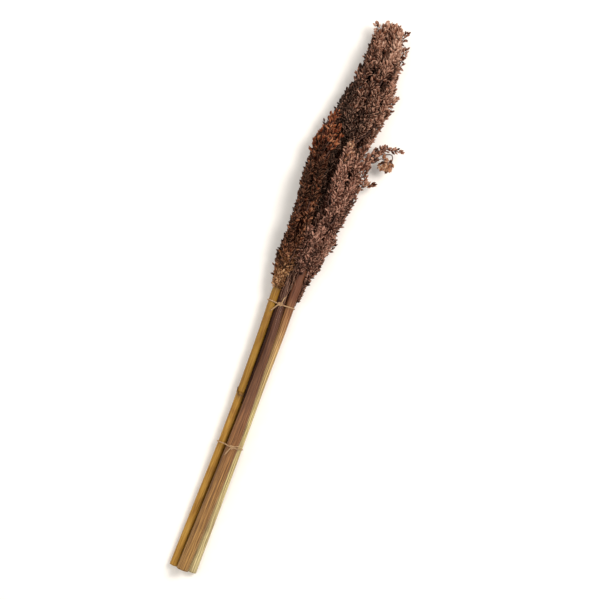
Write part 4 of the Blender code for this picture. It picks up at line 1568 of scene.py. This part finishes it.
def plied(path, sizes, closed=False, spread=1.0):
    """The plies of a twisted cord: each winds round the path, one lay length to a turn."""
    _, first, second = untwisted_frames(path, closed)
    length = lengths_along(path)
    whole = length[-1] + (np.linalg.norm(path[0] - path[-1]) if closed else 0.0)
    turns = max(1, round(whole / sizes.lay))
    made = []
    for ply in range(sizes.plies):
        angle = FULL_TURN * (turns * length / whole + ply / sizes.plies)
        centre = path + sizes.ply * 1.05 * spread * swung(angle, first, second)
        made.append(round_tube(centre, sizes.ply, 8, closed))
    return joined(made)


def round_tube(path, radius, sides, closed=False):
    """One tube on untwisted frames, closed on itself or by two caps."""
    _, first, second = untwisted_frames(path, closed)
    skin = path[:, None] + radius * swung(even_angles(sides), first[:, None], second[:, None])
    quads, triangles = tube_faces(len(path), sides, closed)
    points = skin.reshape(-1, 3)
    if not closed:
        points = np.concatenate([points, path[:1], path[-1:]])
    return points, quads, triangles


def knot_path(centre, size, points=150):
    """An overhand knot: the trefoil (sin t + 2 sin 2t, cos t - 2 cos 2t, -sin 3t), squeezed to size."""
    t = even_angles(points)
    x, y = (np.sin(t) + 2 * np.sin(2 * t)) / 3, (np.cos(t) - 2 * np.cos(2 * t)) / 3
    return centre + np.stack([x, y, -np.sin(3 * t)], axis=-1) * size


FIBRE_SIDE = np.array([0.1, 0.3, 1.0])  # the loose fibres run in every direction, and seldom in this one


def loose_fibres(start, way, later, length, radii, sides):
    """Short bent fibres: half their length one way, and half another."""
    middle = start + way * length * 0.5
    paths = np.stack([start, middle, middle + later * length * 0.5], axis=1)
    return tubes(paths, np.array([radii]) * MM * np.ones((len(start), 1)), sides, FIBRE_SIDE)


def frayed_end(tip, way, random, count=9):
    """Fibres that spread from the cut end of a tail."""
    length = random.uniform(1.2, 2.8, count)[:, None] * MM
    spread = unit(way + random.normal(0, 0.35, (count, 3)))
    later = unit(spread + random.normal(0, 0.3, (count, 3)))
    start = tip + random.normal(0, 0.18 * MM, (count, 3))
    return loose_fibres(start, spread, later, length, (0.1, 0.08, 0.04), 4)


def fuzz(path, random, count, thickness):
    """Short loose fibres that lift off the twine."""
    where = random.integers(0, len(path), count)
    start = path[where] + random.normal(0, thickness, (count, 3))
    lift = unit(random.normal(0, 1, (count, 3)))
    length = random.uniform(0.5, 1.6, count)[:, None] * MM
    bend = unit(lift + random.normal(0, 0.5, (count, 3)))
    return loose_fibres(start, lift, bend, length, (0.05, 0.045, 0.02), 3)


KNOT_SIZE = (2.3, 1.8, 0.75)  # half its size across, along and up, in millimetres
KNOT_LIFT = 0.55 * MM  # how far its middle lies above the middle of the twine
# Tails of each knot, from it to their ends: millimetres across, along and up from the knot.
TAILS = {
    "tie_upper": (
        ((0.3, 0.4, 0.4), (1.0, 3.0, 0.9), (1.3, 5.4, 0.8), (2.0, 8.4, 0.5)),
        ((-0.6, -0.3, 0.5), (-2.6, -2.2, 0.6), (-4.6, -5.4, 0.2), (-7.0, -9.3, 0.0)),
    ),
    "tie_lower": (
        ((0.5, 0.3, 0.4), (2.6, 1.4, 0.9), (5.6, 2.9, 1.0), (8.4, 4.2, 0.4)),
        ((-0.6, -0.6, 0.4), (-1.8, -3.2, 0.3), (-3.0, -6.2, -0.4), (-4.0, -9.0, -1.0)),
    ),
}


class SORGHUM_OT_twine(bpy.types.Operator):
    """Make the two turns of twine with their knots and tails"""

    bl_idname = "sorghum.twine"
    bl_label = "Twine"

    def execute(self, context):
        sizes = context.scene.sorghum_twine
        material = twine_material(context.scene.sorghum_colours.twine)
        thick = sizes.ply * 2.05
        for number, (node, tails) in enumerate(TAILS.items()):
            random = np.random.default_rng(307 + number)
            points = node_points(node)
            y = float(np.median(points[:, 1]))
            path = round_turn(y, thick)
            path[:, 1] += 0.35 * MM * np.sin(3 * even_angles(len(path)))
            high = points[points[:, 2] > points[:, 2].max() - 0.5 * MM]
            knot_x = float(high[:, 0].mean())
            upper = path[np.argmin(np.abs(path[:, 0] - knot_x) + (path[:, 2] < np.median(path[:, 2])))]
            centre = np.array([knot_x, y, upper[2] + KNOT_LIFT])
            knot = knot_path(centre, np.array(KNOT_SIZE) * MM)
            parts = [plied(path, sizes, closed=True), plied(knot, sizes, closed=True, spread=0.8)]
            for tail in tails:
                route = smooth_path(centre + np.array(tail) * MM, 60)
                parts.append(plied(route, sizes, spread=0.9))
                parts.append(frayed_end(route[-1], unit(route[-1] - route[-4]), random))
            parts.append(fuzz(path, random, 90, thick * 0.4))
            points, quads, triangles = joined(parts)
            made = piece(node + "_cord", points, [quads, triangles], material)
            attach(made, BODY)
            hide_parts(node)
        return {"FINISHED"}


# ---------------------------------------------------------------- stage

LEAN = 21.0  # how far the bunch leans in the view, in degrees
CAMERA_HEIGHT = 2.2
VIEW_WIDTH = 0.636  # what the camera takes in at the surface
FLOOR_REACH = 6.0  # half the side of the floor
# Each lamp: power, size and place.
LAMPS = {"key": (25.0, 0.75, (0.7, 0.75, 1.45)), "fill": (10.0, 1.8, (-0.9, -0.2, 1.5))}


def paper_material():
    """White paper: matt, with a faint mottle that is barely darker."""
    made, tree, shader = blank_material("white_paper_sweep")
    grain = add(tree, "ShaderNodeTexNoise", {"Vector": object_place(tree), "Scale": 40.0, "Detail": 2.0})
    tone = ramp(tree, grain.outputs["Fac"], [(0.3, "#f4f3f1"), (0.7, "#fbfaf8")])
    feed(tree, shader, {"Base Color": tone, "Roughness": 0.9, "Specular IOR Level": 0.1})
    return made


class SORGHUM_OT_stage(bpy.types.Operator):
    """Make the pale floor, the soft light and the camera that looks straight down"""

    bl_idname = "sorghum.stage"
    bl_label = "Stage"

    def execute(self, context):
        scene = context.scene
        scene.view_settings.view_transform = "Standard"
        corners = np.array([(-1, -1, 0), (1, -1, 0), (1, 1, 0), (-1, 1, 0)], float) * FLOOR_REACH
        floor = piece("floor", corners, [np.array([[0, 1, 2, 3]])], paper_material())
        for name, lamp in LAMPS.items():
            self.light(name, *lamp)
        world = bpy.data.worlds.new("soft_room")
        world.use_nodes = True
        background = world.node_tree.nodes["Background"]
        feed(world.node_tree, background, {"Color": "#fffbf6", "Strength": 0.62})
        scene.world = world
        lens = bpy.data.cameras.new("camera")
        lens.sensor_width = 36.0
        lens.lens = lens.sensor_width * CAMERA_HEIGHT / VIEW_WIDTH
        lens.clip_end = 20.0
        camera = bpy.data.objects.new("camera", lens)
        scene.collection.objects.link(camera)
        camera.location = (0.0, 0.0, CAMERA_HEIGHT)
        camera.rotation_euler = (0.0, 0.0, math.radians(LEAN))
        scene.camera = camera
        return {"FINISHED"}

    def light(self, name, power, size, place):
        lamp = bpy.data.lights.new(name, "AREA")
        lamp.energy = power
        lamp.size = size
        lamp.color = linear("#fff8f0")[:3]
        made = bpy.data.objects.new(name, lamp)
        bpy.context.scene.collection.objects.link(made)
        made.location = place
        made.rotation_euler = Vector(place).to_track_quat("Z", "Y").to_euler()


class SORGHUM_PT_bunch(bpy.types.Panel):
    """Lists the pieces of the bunch and their settings"""

    bl_label = "Dried sorghum bunch"
    bl_idname = "SORGHUM_PT_bunch"
    bl_space_type = "VIEW_3D"
    bl_region_type = "UI"
    bl_category = "Sorghum"

    def draw(self, context):
        layout = self.layout
        for operator in OPERATORS:
            layout.operator(operator.bl_idname)
        for title in GROUPS:
            box = layout.box()
            for name in GROUPS[title].__annotations__:
                box.prop(getattr(context.scene, title), name)


OPERATORS = (
    SORGHUM_OT_stage,
    SORGHUM_OT_stalks,
    SORGHUM_OT_sheaths,
    SORGHUM_OT_withered_leaf,
    SORGHUM_OT_heads,
    SORGHUM_OT_twine,
)
GROUPS = {
    "sorghum_grains": GrainSizes,
    "sorghum_stalks": StalkSizes,
    "sorghum_twine": TwineSizes,
    "sorghum_colours": BunchColours,
}
CLASSES = (*GROUPS.values(), *OPERATORS, SORGHUM_PT_bunch)


def register():
    for item in CLASSES:
        bpy.utils.register_class(item)
    for name, group in GROUPS.items():
        setattr(bpy.types.Scene, name, PointerProperty(type=group))


def unregister():
    for name in GROUPS:
        delattr(bpy.types.Scene, name)
    for item in reversed(CLASSES):
        bpy.utils.unregister_class(item)


def main():
    register()
    bpy.ops.sorghum.stage()
    bpy.ops.sorghum.stalks()
    bpy.ops.sorghum.sheaths()
    bpy.ops.sorghum.withered_leaf()
    bpy.ops.sorghum.heads()
    bpy.ops.sorghum.twine()


if __name__ == "__main__":
    main()
